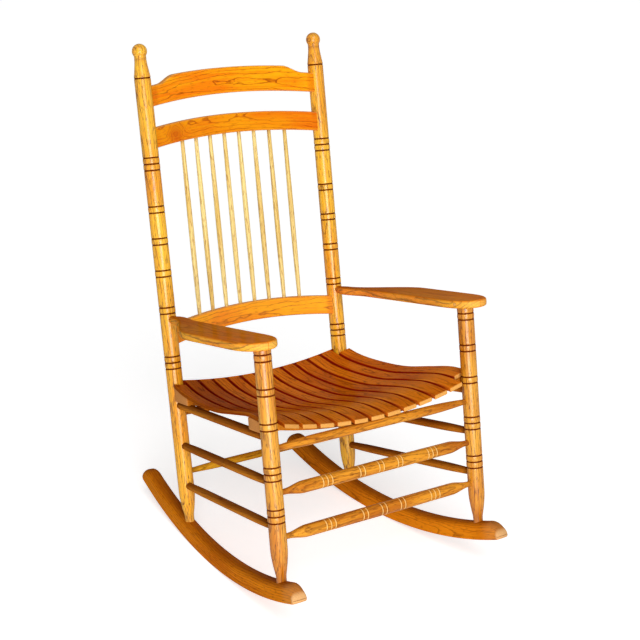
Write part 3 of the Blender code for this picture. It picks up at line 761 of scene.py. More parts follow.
@dataclass
class Posts:
    """The four turned posts."""

    shop: Workshop
    front_spread: float = 0.551
    back_spread: float = 0.4736
    seat_depth: float = 0.453
    lean: float = math.radians(1.1)
    splay: float = math.radians(0.18)
    diameter: float = 0.038
    foot_diameter: float = 0.0224
    foot_tenon: float = 0.022
    foot_neck: float = 0.012
    foot_flare: float = 0.064
    ring_pitch: float = 0.0145
    ring_width: float = 0.003
    ring_depth: float = 0.0009
    bead: float = 0.0004
    top: float = 1.146
    ball_diameter: float = 0.0345
    ball_neck: float = 0.0275
    ball_neck_drop: float = 0.036
    collar_drop: float = 0.078
    neck_cove: float = 1.3
    rail_height: float = 0.3065
    arm_height: float = 0.5013
    back_rings: tuple[tuple[float, int], ...] = (
        (0.078, 1), (0.273, 3), (0.378, 2), (0.452, 2), (0.527, 2), (0.614, 2), (0.7375, 3),
    )
    front_rings: tuple[tuple[float, int], ...] = (
        (0.021, 2), (0.094, 2), (0.1685, 2), (0.270, 3), (0.362, 3),
    )
    sides: int = 40
    step: float = 0.006
    ring_steps: int = 11
    ball_steps: int = 22
    ball_cap: float = 0.03
    arm_tenon: float = 0.001
    ring_burn: Pair = (0.42, 0.35)
    foot_shade: float = 0.35
    foot_fade: Pair = (0.004, 0.03)
    neck_shade: float = 0.6

    def back_y(self, z: Array) -> Array:
        """Depth of the back posts' axes at a height."""
        return self.seat_depth + z * math.tan(self.lean)

    @property
    def rail_depth(self) -> float:
        """Depth of the back posts' axes at the side seat rails."""
        return float(self.back_y(np.array(self.rail_height)))

    def foot(self, side: Side, post: Post) -> Array:
        """Where a post's axis crosses z = 0.

        Args:
            side: The side of the chair.
            post: The kind of post.

        Returns:
            The point.
        """
        front = post is Post.FRONT
        spread, depth = (self.front_spread, 0.0) if front else (self.back_spread, self.seat_depth)
        return np.array([side.value * spread / 2, depth, 0.0])

    def axis(self, side: Side, post: Post) -> Array:
        """Direction of a post, scaled to rise by one."""
        splay, lean = (0.0, 0.0) if post is Post.FRONT else (math.tan(self.splay), math.tan(self.lean))
        return np.array([side.value * splay, lean, 1.0])

    def point(self, side: Side, post: Post, z: float) -> Array:
        """Point of a post's axis at a height."""
        return self.foot(side, post) + self.axis(side, post) * z

    def groups(self, post: Post) -> list[tuple[float, int]]:
        """Ring groups of a post, measured down from its top or from its arm.

        Args:
            post: The kind of post.

        Returns:
            Height of the middle of each group, and the number of its rings.
        """
        front = post is Post.FRONT
        top, rings = (self.arm_height, self.front_rings) if front else (self.top, self.back_rings)
        return [(top - drop, count) for drop, count in rings]

    def ring_heights(self, post: Post) -> Array:
        """Heights of all rings of a post."""
        return np.sort(grouped(self.groups(post), self.ring_pitch))

    def radius(self, post: Post, seat: float, z: Array) -> Array:
        """Turned profile of a post.

        A tapered foot swells by a quarter sine to the plain shaft. Each ring is a
        shallow bell-shaped groove, with a slight bead between the rings of a group.
        A back post ends in a coved neck and a ball.

        Args:
            post: The kind of post.
            seat: Height at which it meets the rocker.
            z: Heights.

        Returns:
            Radius at each height.
        """
        shaft = self.diameter / 2
        swell = shaft - self.foot_diameter / 2
        rise = np.clip((z - seat - self.foot_neck) / self.foot_flare, 0, 1)
        radius = self.foot_diameter / 2 + swell * np.sin(np.pi / 2 * rise)
        for middle, count in self.groups(post):
            reach = (count - 1) / 2 * self.ring_pitch
            wave = np.sin(np.pi * (z - middle + reach) / self.ring_pitch) ** 2
            radius = radius + np.where(np.abs(z - middle) < reach, self.bead * wave, 0.0)
        radius = radius - self.ring_depth * grooves(z, self.ring_heights(post), self.ring_width)
        if post is Post.FRONT:
            return radius
        ball, neck = self.ball_diameter / 2, self.ball_neck / 2
        middle, neck_z = self.top - ball, self.top - self.ball_neck_drop
        collar_z = self.top - self.collar_drop + self.ring_width
        share = np.clip((z - collar_z) / (neck_z - collar_z), 0, 1)
        cove = neck + (shaft - neck) * (1 - share) ** self.neck_cove
        round_ = np.sqrt(np.maximum(ball**2 - (z - middle) ** 2, 0.0))
        low = middle - math.sqrt(ball**2 - neck**2)
        return np.where(z < collar_z, radius, np.where(z < low, cove, round_))

    def stations(self, post: Post, seat: float) -> Array:
        """Heights at which the profile is taken, close together at the rings and the ball.

        Args:
            post: The kind of post.
            seat: Height at which it meets the rocker.

        Returns:
            The heights, from the foot up.
        """
        end = self.arm_height + self.arm_tenon
        if post is Post.BACK:
            end = self.top - self.ball_diameter
        plain = np.arange(seat - self.foot_tenon, end, self.step)
        near = np.linspace(-1.0, 1.0, self.ring_steps) * self.ring_width
        parts = [plain, (self.ring_heights(post)[:, None] + near).ravel(), [end]]
        if post is Post.BACK:
            turn = np.linspace(self.ball_cap, np.pi, self.ball_steps)
            parts.append(self.top - self.ball_diameter / 2 * (1 + np.cos(turn[::-1])) - HAIR)
        return np.unique(np.round(np.concatenate(parts), DIGITS))

    def dress(self, rockers: "Rockers") -> None:
        """Makes the four posts.

        Args:
            rockers: What they stand on.
        """
        for post, side in product(Post, Side):
            foot = self.foot(side, post)
            seat = rockers.top_at(foot[1])
            z = self.stations(post, seat)
            rings, local = turned(foot, self.axis(side, post), z, self.radius(post, seat, z), self.sides)
            skin = Skin(rings, self.shop.billet().cut(local))
            gap = np.abs(z[:, None] - self.ring_heights(post)).min(1) / self.ring_width
            skin.mark(Mark.BURN_AND_SHADE, fade(gap, *self.ring_burn))
            skin.mark(Mark.PATINA_AND_SHADE, self.foot_shade * fade(z - seat, *self.foot_fade))
            neck = (z - self.top + self.ball_neck_drop) / self.ring_width
            skin.mark(Mark.PATINA_AND_SHADE, self.neck_shade * np.exp(-(neck**2)))
            oak = Oak.TAWNY if post is Post.FRONT else Oak.GOLDEN
            self.shop.replace(f"{post.value}_post_{side.tag}", skin, oak)


@dataclass(frozen=True)
class RungPlan:
    """One rung: the posts that it joins, its height, its thickness, its finish and its ends."""

    node: str
    ends: tuple[tuple[Side, Post], tuple[Side, Post]]
    height: float
    diameter: float
    oak: Oak
    scored: bool = False
    end: float = 0.013


@dataclass
class Rungs:
    """Seat rails and stretchers, turned, with tenons in the posts."""

    shop: Workshop
    posts: Posts
    front_rail_height: float = 0.2822
    rear_rail_height: float = 0.2830
    upper_side: float = 0.208
    lower_side: float = 0.1105
    upper_front: float = 0.185
    lower_front: float = 0.0874
    rear_rung: float = 0.141
    rail_end: float = 0.0185
    side_end: float = 0.0165
    tenon: float = 0.012
    ease: float = 0.006
    rail_diameter: float = 0.020
    front_rail_diameter: float = 0.0215
    side_diameter: float = 0.0198
    rear_diameter: float = 0.0185
    front_diameter: float = 0.029
    shoulder: float = 0.0275
    swell: float = 0.4
    scored_swell: float = 0.2
    score_pitch: float = 0.012
    score_width: float = 0.0024
    score_depth: float = 0.0006
    scores: tuple[tuple[float, int], ...] = (
        (-0.145, 3), (-0.052, 2), (0.0, 2), (0.052, 2), (0.145, 3),
    )
    sides: int = 28
    stations: int = 90
    score_reach: float = 1.4
    score_steps: int = 15
    log_depth: float = 0.04
    end_shade: float = 0.5
    end_fade: float = 0.02
    top_shade: float = 0.7
    top_start: float = 0.2
    score_bloom: float = 0.8
    score_fade: Pair = (0.3, 0.3)
    score_burn: float = 0.5
    score_burn_fade: Pair = (0.1, 0.3)

    def plans(self) -> list[RungPlan]:
        """Every rung of the chair.

        Returns:
            The plans, with the rungs of the sides first.
        """
        sides = {
            "side_seat_rail": (self.posts.rail_height, self.rail_diameter, self.rail_end),
            "upper_side_stretcher": (self.upper_side, self.side_diameter, self.side_end),
            "lower_side_stretcher": (self.lower_side, self.side_diameter, self.side_end),
        }
        plans = []
        for side in Side:
            pair = ((side, Post.FRONT), (side, Post.BACK))
            for name, (height, diameter, end) in sides.items():
                plans.append(RungPlan(f"{name}_{side.tag}", pair, height, diameter, Oak.BROWN, end=end))
        front, back = (((Side.LEFT, post), (Side.RIGHT, post)) for post in Post)
        wide, thick, scored = self.rail_diameter, self.front_diameter, True
        return plans + [
            RungPlan("front_seat_rail", front, self.front_rail_height, self.front_rail_diameter, Oak.HONEY),
            RungPlan("rear_seat_rail", back, self.rear_rail_height, wide, Oak.BROWN),
            RungPlan("rear_stretcher", back, self.rear_rung, self.rear_diameter, Oak.STRAW),
            RungPlan("upper_front_stretcher", front, self.upper_front, thick, Oak.HONEY, scored),
            RungPlan("lower_front_stretcher", front, self.lower_front, thick, Oak.HONEY, scored),
        ]

    def score_spots(self) -> Array:
        """Distances of the score lines from the middle of a front stretcher."""
        return grouped(self.scores, self.score_pitch)

    def radius(self, plan: RungPlan, half: float, s: Array) -> Array:
        """Turned profile of a rung.

        Straight tenons swell towards the middle by a quarter sine; a scored rung swells
        to a shoulder first, and on from there, and has a bell-shaped groove at each
        score line.

        Args:
            plan: The rung.
            half: Half its length.
            s: Distances from its middle.

        Returns:
            Radius at each distance.
        """
        tenon = plan.end / 2
        share = 1 - np.abs(s) / (half - self.tenon - self.ease)
        if not plan.scored:
            rise = np.sin(np.pi / 2 * np.clip(share / self.swell, 0, 1))
            return tenon + (plan.diameter / 2 - tenon) * rise
        low = tenon + (self.shoulder / 2 - tenon) * smooth(share / self.scored_swell)
        belly = (plan.diameter - self.shoulder) / 2 * smooth(share)
        return low + belly - self.score_depth * grooves(s, self.score_spots(), self.score_width)

    def dress(self) -> None:
        """Makes every rung."""
        spots = self.score_spots()
        near = np.linspace(-self.score_reach, self.score_reach, self.score_steps) * self.score_width
        for plan in self.plans():
            start, end = (self.posts.point(*post, plan.height) for post in plan.ends)
            half = np.linalg.norm(end - start) / 2 - self.posts.diameter / 2 + self.tenon
            parts = [np.linspace(-half, half, self.stations)]
            if plan.scored:
                parts.append((spots[:, None] + near).ravel())
            s = np.unique(np.round(np.concatenate(parts), DIGITS))
            radii = self.radius(plan, half, s)
            rings, local = turned((start + end) / 2, end - start, s, radii, self.sides)
            skin = Skin(rings, self.shop.billet(depth=self.log_depth).cut(local))
            inside = half - self.tenon - np.abs(s)
            skin.mark(Mark.PATINA_AND_SHADE, self.end_shade * fade(inside, 0.0, self.end_fade))
            # Painted shade: the upper half of the brown rungs is darker, as under the seat
            if plan.oak is Oak.BROWN:
                up = rings[..., 2] - rings[..., 2].mean(1, keepdims=True)
                skin.mark(Mark.PATINA_AND_SHADE, self.top_shade * smooth(up / plan.diameter * 2 + self.top_start))
            if plan.scored:
                gap = (s[:, None] - spots) / self.score_width
                skin.mark(Mark.PALE, self.score_bloom * fade(np.abs(gap).min(1), *self.score_fade))
                edge = np.abs(gap - 1.0).min(1)
                skin.mark(Mark.BURN_AND_SHADE, self.score_burn * fade(edge, *self.score_burn_fade))
            self.shop.replace(plan.node, skin, plan.oak)


@dataclass(frozen=True)
class Rail:
    """One bent rail of the back: its lower edge at the posts, its ogee, its knot and its tone.

    A knot a metre aside is off the rail, which then has none.
    """

    node: str
    base: float
    height: float
    rise: float = 0.0
    knot: float = -1.0
    shade: float = 0.0
    bloom: float = 0.0


@dataclass
class Back:
    """Bent rails and spindles of the back."""

    shop: Workshop
    posts: Posts
    crest_drop: float = 0.096
    crest_end: float = 0.0465
    crest_rise: float = 0.0145
    ogee_start: float = 0.200
    ogee_length: float = 0.050
    hand_gap: float = 0.0485
    rail_height: float = 0.046
    thickness: float = 0.018
    soft: float = 0.0035
    bow: float = 0.030
    arch: float = 0.0145
    tenon: float = 0.0095
    knot_length: float = 0.022
    knot_bulge: float = 0.03
    knot_shade: float = 0.5
    spindle_count: int = 8
    spindle_length: float = 0.412
    spindle_pitch: float = 0.041
    spindle_end: float = 0.009
    spindle_diameter: float = 0.0125
    spindle_tenon: float = 0.0095
    sides: int = 20
    knot: float = -0.168
    upper_shade: float = 0.3
    lower_bloom: float = 0.06
    stations: int = 160
    log_spread: float = 0.02
    log_depth: float = 0.03
    edge_bloom: float = 0.22
    end_shade: float = 0.4
    end_fade: float = 0.012
    spindle_stations: int = 64
    spindle_power: float = 0.8
    spindle_log_depth: float = 0.035
    spindle_shade: float = 0.45

    @property
    def half(self) -> float:
        """Half the width between the posts."""
        return self.posts.back_spread / 2 - self.posts.diameter / 2

    def rails(self) -> list[Rail]:
        """The three rails.

        Returns:
            The rails, from the top down.
        """
        crest = self.posts.top - self.crest_drop - self.crest_end
        upper = crest - self.hand_gap - self.rail_height
        lower = upper - self.spindle_length - self.rail_height
        return [
            Rail("crest_rail", crest, self.crest_end, rise=self.crest_rise),
            Rail("upper_spindle_rail", upper, self.rail_height, knot=self.knot, shade=self.upper_shade),
            Rail("lower_spindle_rail", lower, self.rail_height, bloom=self.lower_bloom),
        ]

    def curve(self, x: Array) -> Array:
        """Share of the bow and of the arch at a distance from the middle: a parabola."""
        return 1 - (x / self.half) ** 2

    def rail_skin(self, rail: Rail) -> Skin:
        """A soft-edged rectangle carried along the bow and the arch.

        Args:
            rail: The rail.

        Returns:
            Its skin.
        """
        reach = self.half + rail.base * math.tan(self.posts.splay) + self.tenon
        x = np.linspace(-reach, reach, self.stations)
        height = rail.height + rail.rise * smooth((self.ogee_start - np.abs(x)) / self.ogee_length)
        flat = np.full_like(x, self.thickness / 2)
        section = soft_section(flat, np.zeros_like(x), height, self.soft, self.soft)
        out, up = section[..., 0], section[..., 1]
        slope = -2 * self.bow * x / self.half**2
        length = np.hypot(slope, 1)
        z = rail.base + (self.arch * self.curve(x))[:, None] + up
        y = self.posts.back_y(z) + (self.bow * self.curve(x))[:, None] + out / length[:, None]
        rings = np.stack([x[:, None] - out * (slope / length)[:, None], y, z], -1)
        away = ((x[:, None] - rail.knot) / self.knot_length) ** 2
        bulge = self.knot_bulge * np.exp(-away - (2 * up / rail.height - 1) ** 2)
        along = np.broadcast_to(x[:, None], out.shape)
        local = np.stack([up - rail.height / 2, out + bulge, along], -1)
        skin = Skin(rings, self.shop.billet(spread=self.log_spread, depth=self.log_depth).cut(local))
        skin.mark(Mark.PATINA_AND_SHADE, rail.shade + self.knot_shade * bulge / self.knot_bulge)
        skin.mark(Mark.PALE, np.full_like(x, rail.bloom))
        edge = np.minimum(up, height[:, None] - up)
        skin.mark(Mark.PALE, self.edge_bloom * fade(edge, 0.0, self.soft))
        skin.mark(Mark.PATINA_AND_SHADE, self.end_shade * fade(self.half - np.abs(x), 0.0, self.end_fade))
        return skin

    def dress(self) -> None:
        """Makes the rails and the spindles.

        A spindle swells from both ends by half a wave of a sine, thickest a little below
        its middle.
        """
        rails = self.rails()
        for rail in rails:
            self.shop.replace(rail.node, self.rail_skin(rail), Oak.AMBER)
        along = np.array([0.0, math.tan(self.posts.lean), 1.0])
        run = self.spindle_length / math.cos(self.posts.lean)
        s = np.linspace(-self.spindle_tenon, run + self.spindle_tenon, self.spindle_stations)
        share = np.clip(s / run, 0, 1)
        belly = (self.spindle_diameter - self.spindle_end) / 2
        radii = self.spindle_end / 2 + belly * np.sin(np.pi * share**self.spindle_power)
        for number in range(1, self.spindle_count + 1):
            x = (number - (self.spindle_count + 1) / 2) * self.spindle_pitch
            z = rails[-1].base + self.rail_height + self.arch * self.curve(x)
            start = np.array([x, self.posts.back_y(z) + self.bow * self.curve(x), z])
            rings, local = turned(start, along, s, radii, self.sides)
            skin = Skin(rings, self.shop.billet(depth=self.spindle_log_depth).cut(local))
            near = np.minimum(s, run - s)
            skin.mark(Mark.PATINA_AND_SHADE, self.spindle_shade * fade(near, 0.0, self.end_fade))
            self.shop.replace(f"spindle_{number}", skin, Oak.PALE)


@dataclass
class Arms:
    """Paddle arms: sawn boards with soft edges, and a pin that locks each on its post."""

    shop: Workshop
    posts: Posts
    thickness: float = 0.018
    width: float = 0.098
    outset: float = 0.010
    neck_width: float = 0.032
    neck_length: float = 0.030
    inner_sweep: float = 0.090
    outer_sweep: float = 0.200
    tip: float = 0.043
    nose: float = 0.085
    nose_power: float = 2.6
    tenon_diameter: float = 0.018
    tenon: float = 0.012
    soft: float = 0.0052
    stain: float = 0.5
    pin_diameter: float = 0.0085
    pin_spot: float = -0.004
    pin_length: float = 0.006
    pin_sink: float = 0.0002
    pin_dome: float = 0.0008
    pin_rise: float = 0.001
    pin_rim: float = 0.0003
    pin_shade_and_end_grain: float = 0.9
    pin_steps: int = 6
    pin_sides: int = 20
    nose_turn: float = math.radians(89)
    nose_steps: int = 40
    board_steps: int = 90
    rim_steps: int = 15
    face_shares: tuple[float, ...] = (0.04, 0.3, 0.7, 0.96)
    log_depth: float = 0.026
    top_start: float = 0.55
    top_shade: float = 0.65
    butt_start: float = 0.45
    nose_butt: float = 0.8
    rim_fade: Pair = (0.5, 0.5)
    rim_highlight: float = 0.1

    @property
    def paddle(self) -> float:
        """Distance of the paddle's middle from the middle of the chair."""
        return self.posts.front_spread / 2 + self.outset

    @property
    def middle(self) -> float:
        """Height of the arm's middle plane."""
        return self.posts.arm_height + self.thickness / 2

    @property
    def shoulder(self) -> float:
        """Depth at which an arm meets the face of its back post."""
        return float(self.posts.back_y(np.array(self.middle))) - self.posts.diameter / 2

    def edges(self, y: Array) -> tuple[Array, Array]:
        """Inner and outer edge of the right arm.

        The neck widens from the tenon, each edge sweeps out to the paddle by an
        ease curve of its own, and the nose closes in a superellipse.

        Args:
            y: Depths.

        Returns:
            Distances of both edges from the middle of the chair.
        """
        rear = self.posts.point(Side.RIGHT, Post.BACK, self.middle)[0]
        before = self.shoulder - y
        widening = (self.neck_width - self.tenon_diameter) * smooth(before / self.neck_length)
        half = (self.tenon_diameter + widening) / 2
        inward = smooth((before - self.neck_length) / self.inner_sweep)
        outward = smooth((before - self.neck_length) / self.outer_sweep)
        inner = (rear - half) * (1 - inward) + (self.paddle - self.width / 2) * inward
        outer = (rear + half) * (1 - outward) + (self.paddle + self.width / 2) * outward
        nose = np.clip((self.nose - self.tip - y) / self.nose, 0, 1)
        reach = (outer - inner) / 2 * np.sqrt(1 - nose**self.nose_power)
        return (inner + outer) / 2 - reach, (inner + outer) / 2 + reach

    def stations(self) -> Array:
        """Depths of the rings, close together round the nose.

        Returns:
            The depths, from the end of the tenon to the tip.
        """
        turn = np.linspace(0, self.nose_turn, self.nose_steps)
        nose = self.nose - self.tip - self.nose * np.sin(turn)
        board = np.linspace(self.shoulder, nose[0], self.board_steps)[:-1]
        return np.concatenate([[self.shoulder + self.tenon], board, nose])

    def skin(self, side: Side) -> Skin:
        """A board with rounded edges.

        Both edges have a half-round of the soft radius, drawn in along the edge's own
        normal in plan, and the faces join them.

        Args:
            side: The side of the chair.

        Returns:
            The arm's skin.
        """
        y = self.stations()
        inner, outer = self.edges(y)
        board = smooth((self.shoulder - y) / (self.neck_length + self.inner_sweep))
        deep = (self.tenon_diameter + (self.thickness - self.tenon_diameter) * board) / 2
        soft = deep * MOST_ROUND * (1 - board) + self.soft * board
        turn = np.linspace(-np.pi / 2, np.pi / 2, self.rim_steps)
        inset = soft[:, None] * (1 - np.cos(turn))
        rise = np.sign(turn) * (deep - soft)[:, None] + soft[:, None] * np.sin(turn)
        way_y = np.gradient(y)
        rims = []
        for edge, out in ((outer, 1), (inner, -1)):
            way_x = np.gradient(edge)
            length = np.hypot(way_x, way_y)
            aside, ahead = (-out * way_y / length)[:, None], (out * way_x / length)[:, None]
            rims.append((edge[:, None] - aside * inset, y[:, None] - ahead * inset))
        share = np.array(self.face_shares)
        (x_out, y_out), (x_in, y_in) = rims

        def face(row: int) -> tuple[Array, Array]:
            """Points of the upper or lower face, from the outer rim to the inner one."""
            x = x_out[:, row, None] + (x_in - x_out)[:, row, None] * share
            return x, y_out[:, row, None] + (y_in - y_out)[:, row, None] * share

        (top_x, top_y), (low_x, low_y) = face(-1), face(0)
        flat = deep[:, None] * np.ones((1, len(share)))
        x = np.concatenate([x_out, top_x, x_in[:, ::-1], low_x[:, ::-1]], 1)
        depth = np.concatenate([y_out, top_y, y_in[:, ::-1], low_y[:, ::-1]], 1)
        up = np.concatenate([rise, flat, rise[:, ::-1], -flat], 1)
        rings = np.stack([side.value * x, depth, self.middle + up], -1)
        local = np.stack([x - self.paddle, up, depth], -1)
        skin = Skin(rings, self.shop.billet(depth=self.log_depth).cut(local))
        # Painted shade: the top is darker than the edges, and darker still towards the rear
        above = smooth((up / deep[:, None] - self.top_start) / (1 - self.top_start))
        skin.mark(Mark.PATINA_AND_SHADE, self.top_shade * above)
        skin.mark(Mark.BURN_AND_SHADE, self.stain * above * np.clip(y / self.shoulder, 0, 1)[:, None])
        nose = smooth((self.nose - self.tip - y) / self.nose - self.butt_start)
        rim = fade(np.abs(up) / deep[:, None], *self.rim_fade)
        skin.mark(Mark.BUTT, self.nose_butt * nose[:, None] * rim)
        # Painted highlight along the rounded edges
        skin.mark(Mark.PALE, self.rim_highlight * rim)
        return skin

    def pin_skin(self, side: Side) -> Skin:
        """A slightly domed pin, flush with the inner edge beside the front post.

        Its dome is a quarter ellipse turned about the edge's own normal in plan.

        Args:
            side: The side of the chair.

        Returns:
            The pin's skin.
        """
        y = np.array([self.pin_spot, self.pin_spot - SLIGHT])
        inner, _ = self.edges(y)
        out = np.array([-side.value, (inner[1] - inner[0]) / (y[1] - y[0]), 0.0])
        radius = self.pin_diameter / 2
        turn = np.linspace(0, np.pi / 2, self.pin_steps)[1:-1]
        s = np.concatenate([[-self.pin_length, -self.pin_sink], self.pin_dome * np.sin(turn)])
        radii = np.concatenate([[radius, radius], radius * np.cos(turn)])
        start = np.array([side.value * inner[0], self.pin_spot, self.middle + self.pin_rise])
        rings, local = turned(start, out, s, radii, self.pin_sides)
        skin = Skin(rings, self.shop.billet().cut(local))
        # Painted shade round the sunk part of the pin, and pale end grain on its dome
        skin.mark(Mark.BURN_AND_SHADE, np.where(s < self.pin_rim, self.pin_shade_and_end_grain, 0.0))
        return skin.mark(Mark.BUTT, np.where(s < self.pin_rim, 0.0, self.pin_shade_and_end_grain))

    def dress(self) -> None:
        """Makes both arms and their pins."""
        for side in Side:
            self.shop.replace(f"arm_{side.tag}", self.skin(side), Oak.ARM)
            self.shop.add(f"arm_pin_{side.tag}", self.pin_skin(side), Oak.GOLDEN)


@dataclass
class Seat:
    """Thirteen bent slats, fanned and dished, on two dished cleats."""

    shop: Workshop
    posts: Posts
    count: int = 13
    front_width: float = 0.0358
    rear_width: float = 0.0325
    thickness: float = 0.0095
    soft: float = 0.0018
    front_pitch: float = 0.0449
    rear_pitch: float = 0.0394
    front_dish: float = 0.034
    rear_dish: float = 0.027
    dish_half: float = 0.260
    profile: tuple[tuple[float, float], ...] = (
        (-0.029, -0.0008), (0.045, 0.0058), (0.155, 0.0108), (0.310, 0.0062),
        (0.505, 0.0), (0.705, 0.0056), (0.875, 0.0175), (1.005, 0.0360),
    )
    dip: float = 0.3036
    front_cleat_width: float = 0.050
    rear_cleat_width: float = 0.076
    rear_lip: float = 0.006
    cleat_thickness: float = 0.027
    cleat_waist: float = 0.0185
    cleat_foot: float = 5.2
    # Strengths of painted shade on the outermost slats' outer sides and of a painted shadow on the left
    # slats
    side_shade: float = 0.6
    left_shade: float = 0.3
    cleat_overhang: float = 0.012
    cleat_gap: float = 0.0025
    fit: float = 0.0003
    outer_gap: float = 0.002
    slat_ease: int = 5
    slat_stations: int = 110
    soft_steps: int = 4
    lane_half: float = 0.499
    slat_log_depth: float = 0.03
    slat_butt: float = 1.1
    worn_width: float = 0.005
    roll: float = 0.15
    roll_reach: float = 0.08
    roll_highlight_and_wear: Pair = (0.25, 0.5)
    gap_start: float = 0.1
    gap_fade: float = 0.2
    left_start: float = 2.0
    left_fade: float = 4.0
    cleat_ease: float = 0.002
    cleat_stations: int = 150
    cleat_soft: Pair = (0.003, 0.0015)
    cleat_foot_fade: float = 0.6
    cleat_log_depth: float = 0.04
    cleat_butt: float = 0.8
    cleat_butt_fade: float = 0.0025
    lip_stations: int = 600
    lip_soft: float = 0.001
    lip_steps: int = 3
    lip_top: float = 0.9
    lip_gap_shade: float = 0.6

    def rise(self, y: Array) -> Array:
        """Rise of the seat's middle line above its dip.

        A smooth curve through the profile: cubic pieces whose slope at each point is
        that of the line through its neighbours.

        Args:
            y: Depths.

        Returns:
            Rise at each depth.
        """
        points = np.array(self.profile) * [self.posts.seat_depth, 1.0]
        points = np.vstack([2 * points[0] - points[1], points, 2 * points[-1] - points[-2]])
        k = np.clip(np.searchsorted(points[:, 0], y) - 1, 1, len(points) - 3)
        p0, p1, p2, p3 = (points[k + n] for n in (-1, 0, 1, 2))
        span = p2[..., 0] - p1[..., 0]
        t = (y - p1[..., 0]) / span
        first = (p2[..., 1] - p0[..., 1]) / (p2[..., 0] - p0[..., 0]) * span
        last = (p3[..., 1] - p1[..., 1]) / (p3[..., 0] - p1[..., 0]) * span
        straight = p1[..., 1] + t * t * (3 - 2 * t) * (p2[..., 1] - p1[..., 1])
        return straight + t * (1 - t) ** 2 * first - t * t * (1 - t) * last

    def dish(self, x: Array, y: Array) -> Array:
        """Rise of the seat from its middle towards its sides: a parabola at each depth."""
        deep = self.front_dish + (self.rear_dish - self.front_dish) * y / self.posts.seat_depth
        return deep * (x / self.dish_half) ** 2

    def pitch(self, y: Array) -> Array:
        """Spacing of the slats, which fan out towards the front."""
        return self.front_pitch + (self.rear_pitch - self.front_pitch) * y / self.posts.seat_depth

    def rail_x(self, y: float) -> float:
        """Distance of the side seat rails from the middle, on the line between the posts.

        Args:
            y: A depth.

        Returns:
            The distance at that depth.
        """
        share = y / self.posts.rail_depth
        front, back = self.posts.front_spread, self.posts.back_spread
        return (front + (back - front) * share) / 2

    def cleats(self) -> dict[str, tuple[float, float]]:
        """Where the cleats lie.

        Returns:
            Front and rear edge of each cleat, by its name.
        """
        front = self.posts.diameter / 2 + self.cleat_gap
        rear = self.profile[-1][0] * self.posts.seat_depth + self.fit
        return {
            "front_cleat": (front, front + self.front_cleat_width),
            "rear_cleat": (rear - self.rear_cleat_width, rear),
        }

    def top(self, lane: Array, y: Array) -> Array:
        """Height of the seat, which is straight across each pitch.

        Args:
            lane: Pitches from the middle.
            y: Depths.

        Returns:
            Height at each place.
        """
        pitch = self.pitch(y)
        low = np.floor(lane + 0.5) - 0.5
        left = self.dish(low * pitch, y)
        right = self.dish((low + 1) * pitch, y)
        return self.dip + self.rise(y) + left + (right - left) * (lane - low)

    def slat_skin(self, lane: float) -> Skin:
        """A soft-edged rectangle carried along the seat's curve.

        Args:
            lane: Pitches from the middle.

        Returns:
            The slat's skin.
        """
        deep = self.posts.seat_depth
        start, end = self.profile[0][0] * deep, self.profile[-1][0] * deep
        if abs(lane) == (self.count - 1) / 2:
            start = self.cleats()["front_cleat"][0]
            end = self.posts.rail_depth - self.posts.diameter / 2 - self.outer_gap
        s, inset = eased_ends(end - start, self.soft, self.slat_ease, self.slat_stations)
        y = start + s
        half = (self.front_width + (self.rear_width - self.front_width) * y / deep) / 2
        low, high = inset - self.thickness, -inset
        section = soft_section(half - inset, low, high, self.soft, self.soft, self.soft_steps)
        across, up = section[..., 0], section[..., 1]
        depth = np.broadcast_to(y[:, None], across.shape)
        pitch = self.pitch(depth)
        z = self.top(lane + np.clip(across / pitch, -self.lane_half, self.lane_half), depth) + up
        rings = np.stack([lane * pitch + across, depth, z], -1)
        local = np.stack([across, up, depth], -1)
        skin = Skin(rings, self.shop.billet(depth=self.slat_log_depth).cut(local))
        skin.mark(Mark.BUTT, fade(np.minimum(s, s[-1] - s), 0.0, self.soft * self.slat_butt))
        worn = fade(half[:, None] - np.abs(across), 0.0, self.worn_width)
        bend = fade(np.abs(depth - self.roll * deep), 0.0, self.roll_reach)
        # Painted highlight and wear across the front roll of each slat, strongest at its edges
        least, swing = self.roll_highlight_and_wear
        skin.mark(Mark.PALE, (least + swing * worn) * bend * (up > -self.soft))
        # Painted shade on the slats' sides in the gaps, and on the outer side of the outermost slats
        rim = smooth((np.abs(across) - half[:, None] + self.soft) / self.soft)
        shut = (np.abs(lane) < (self.count - 1) / 2) | (across * lane < 0)
        skin.mark(Mark.PATINA_AND_SHADE, rim * shut * smooth((depth / deep + self.gap_start) / self.gap_fade))
        skin.mark(Mark.BURN_AND_SHADE, self.side_shade * rim * ~shut)
        # Painted shadow: the left slats are darkened as the left arm and front post shade them
        left = smooth((-lane - self.left_start) / self.left_fade)
        return skin.mark(Mark.BURN_AND_SHADE, np.full_like(y, self.left_shade * left))

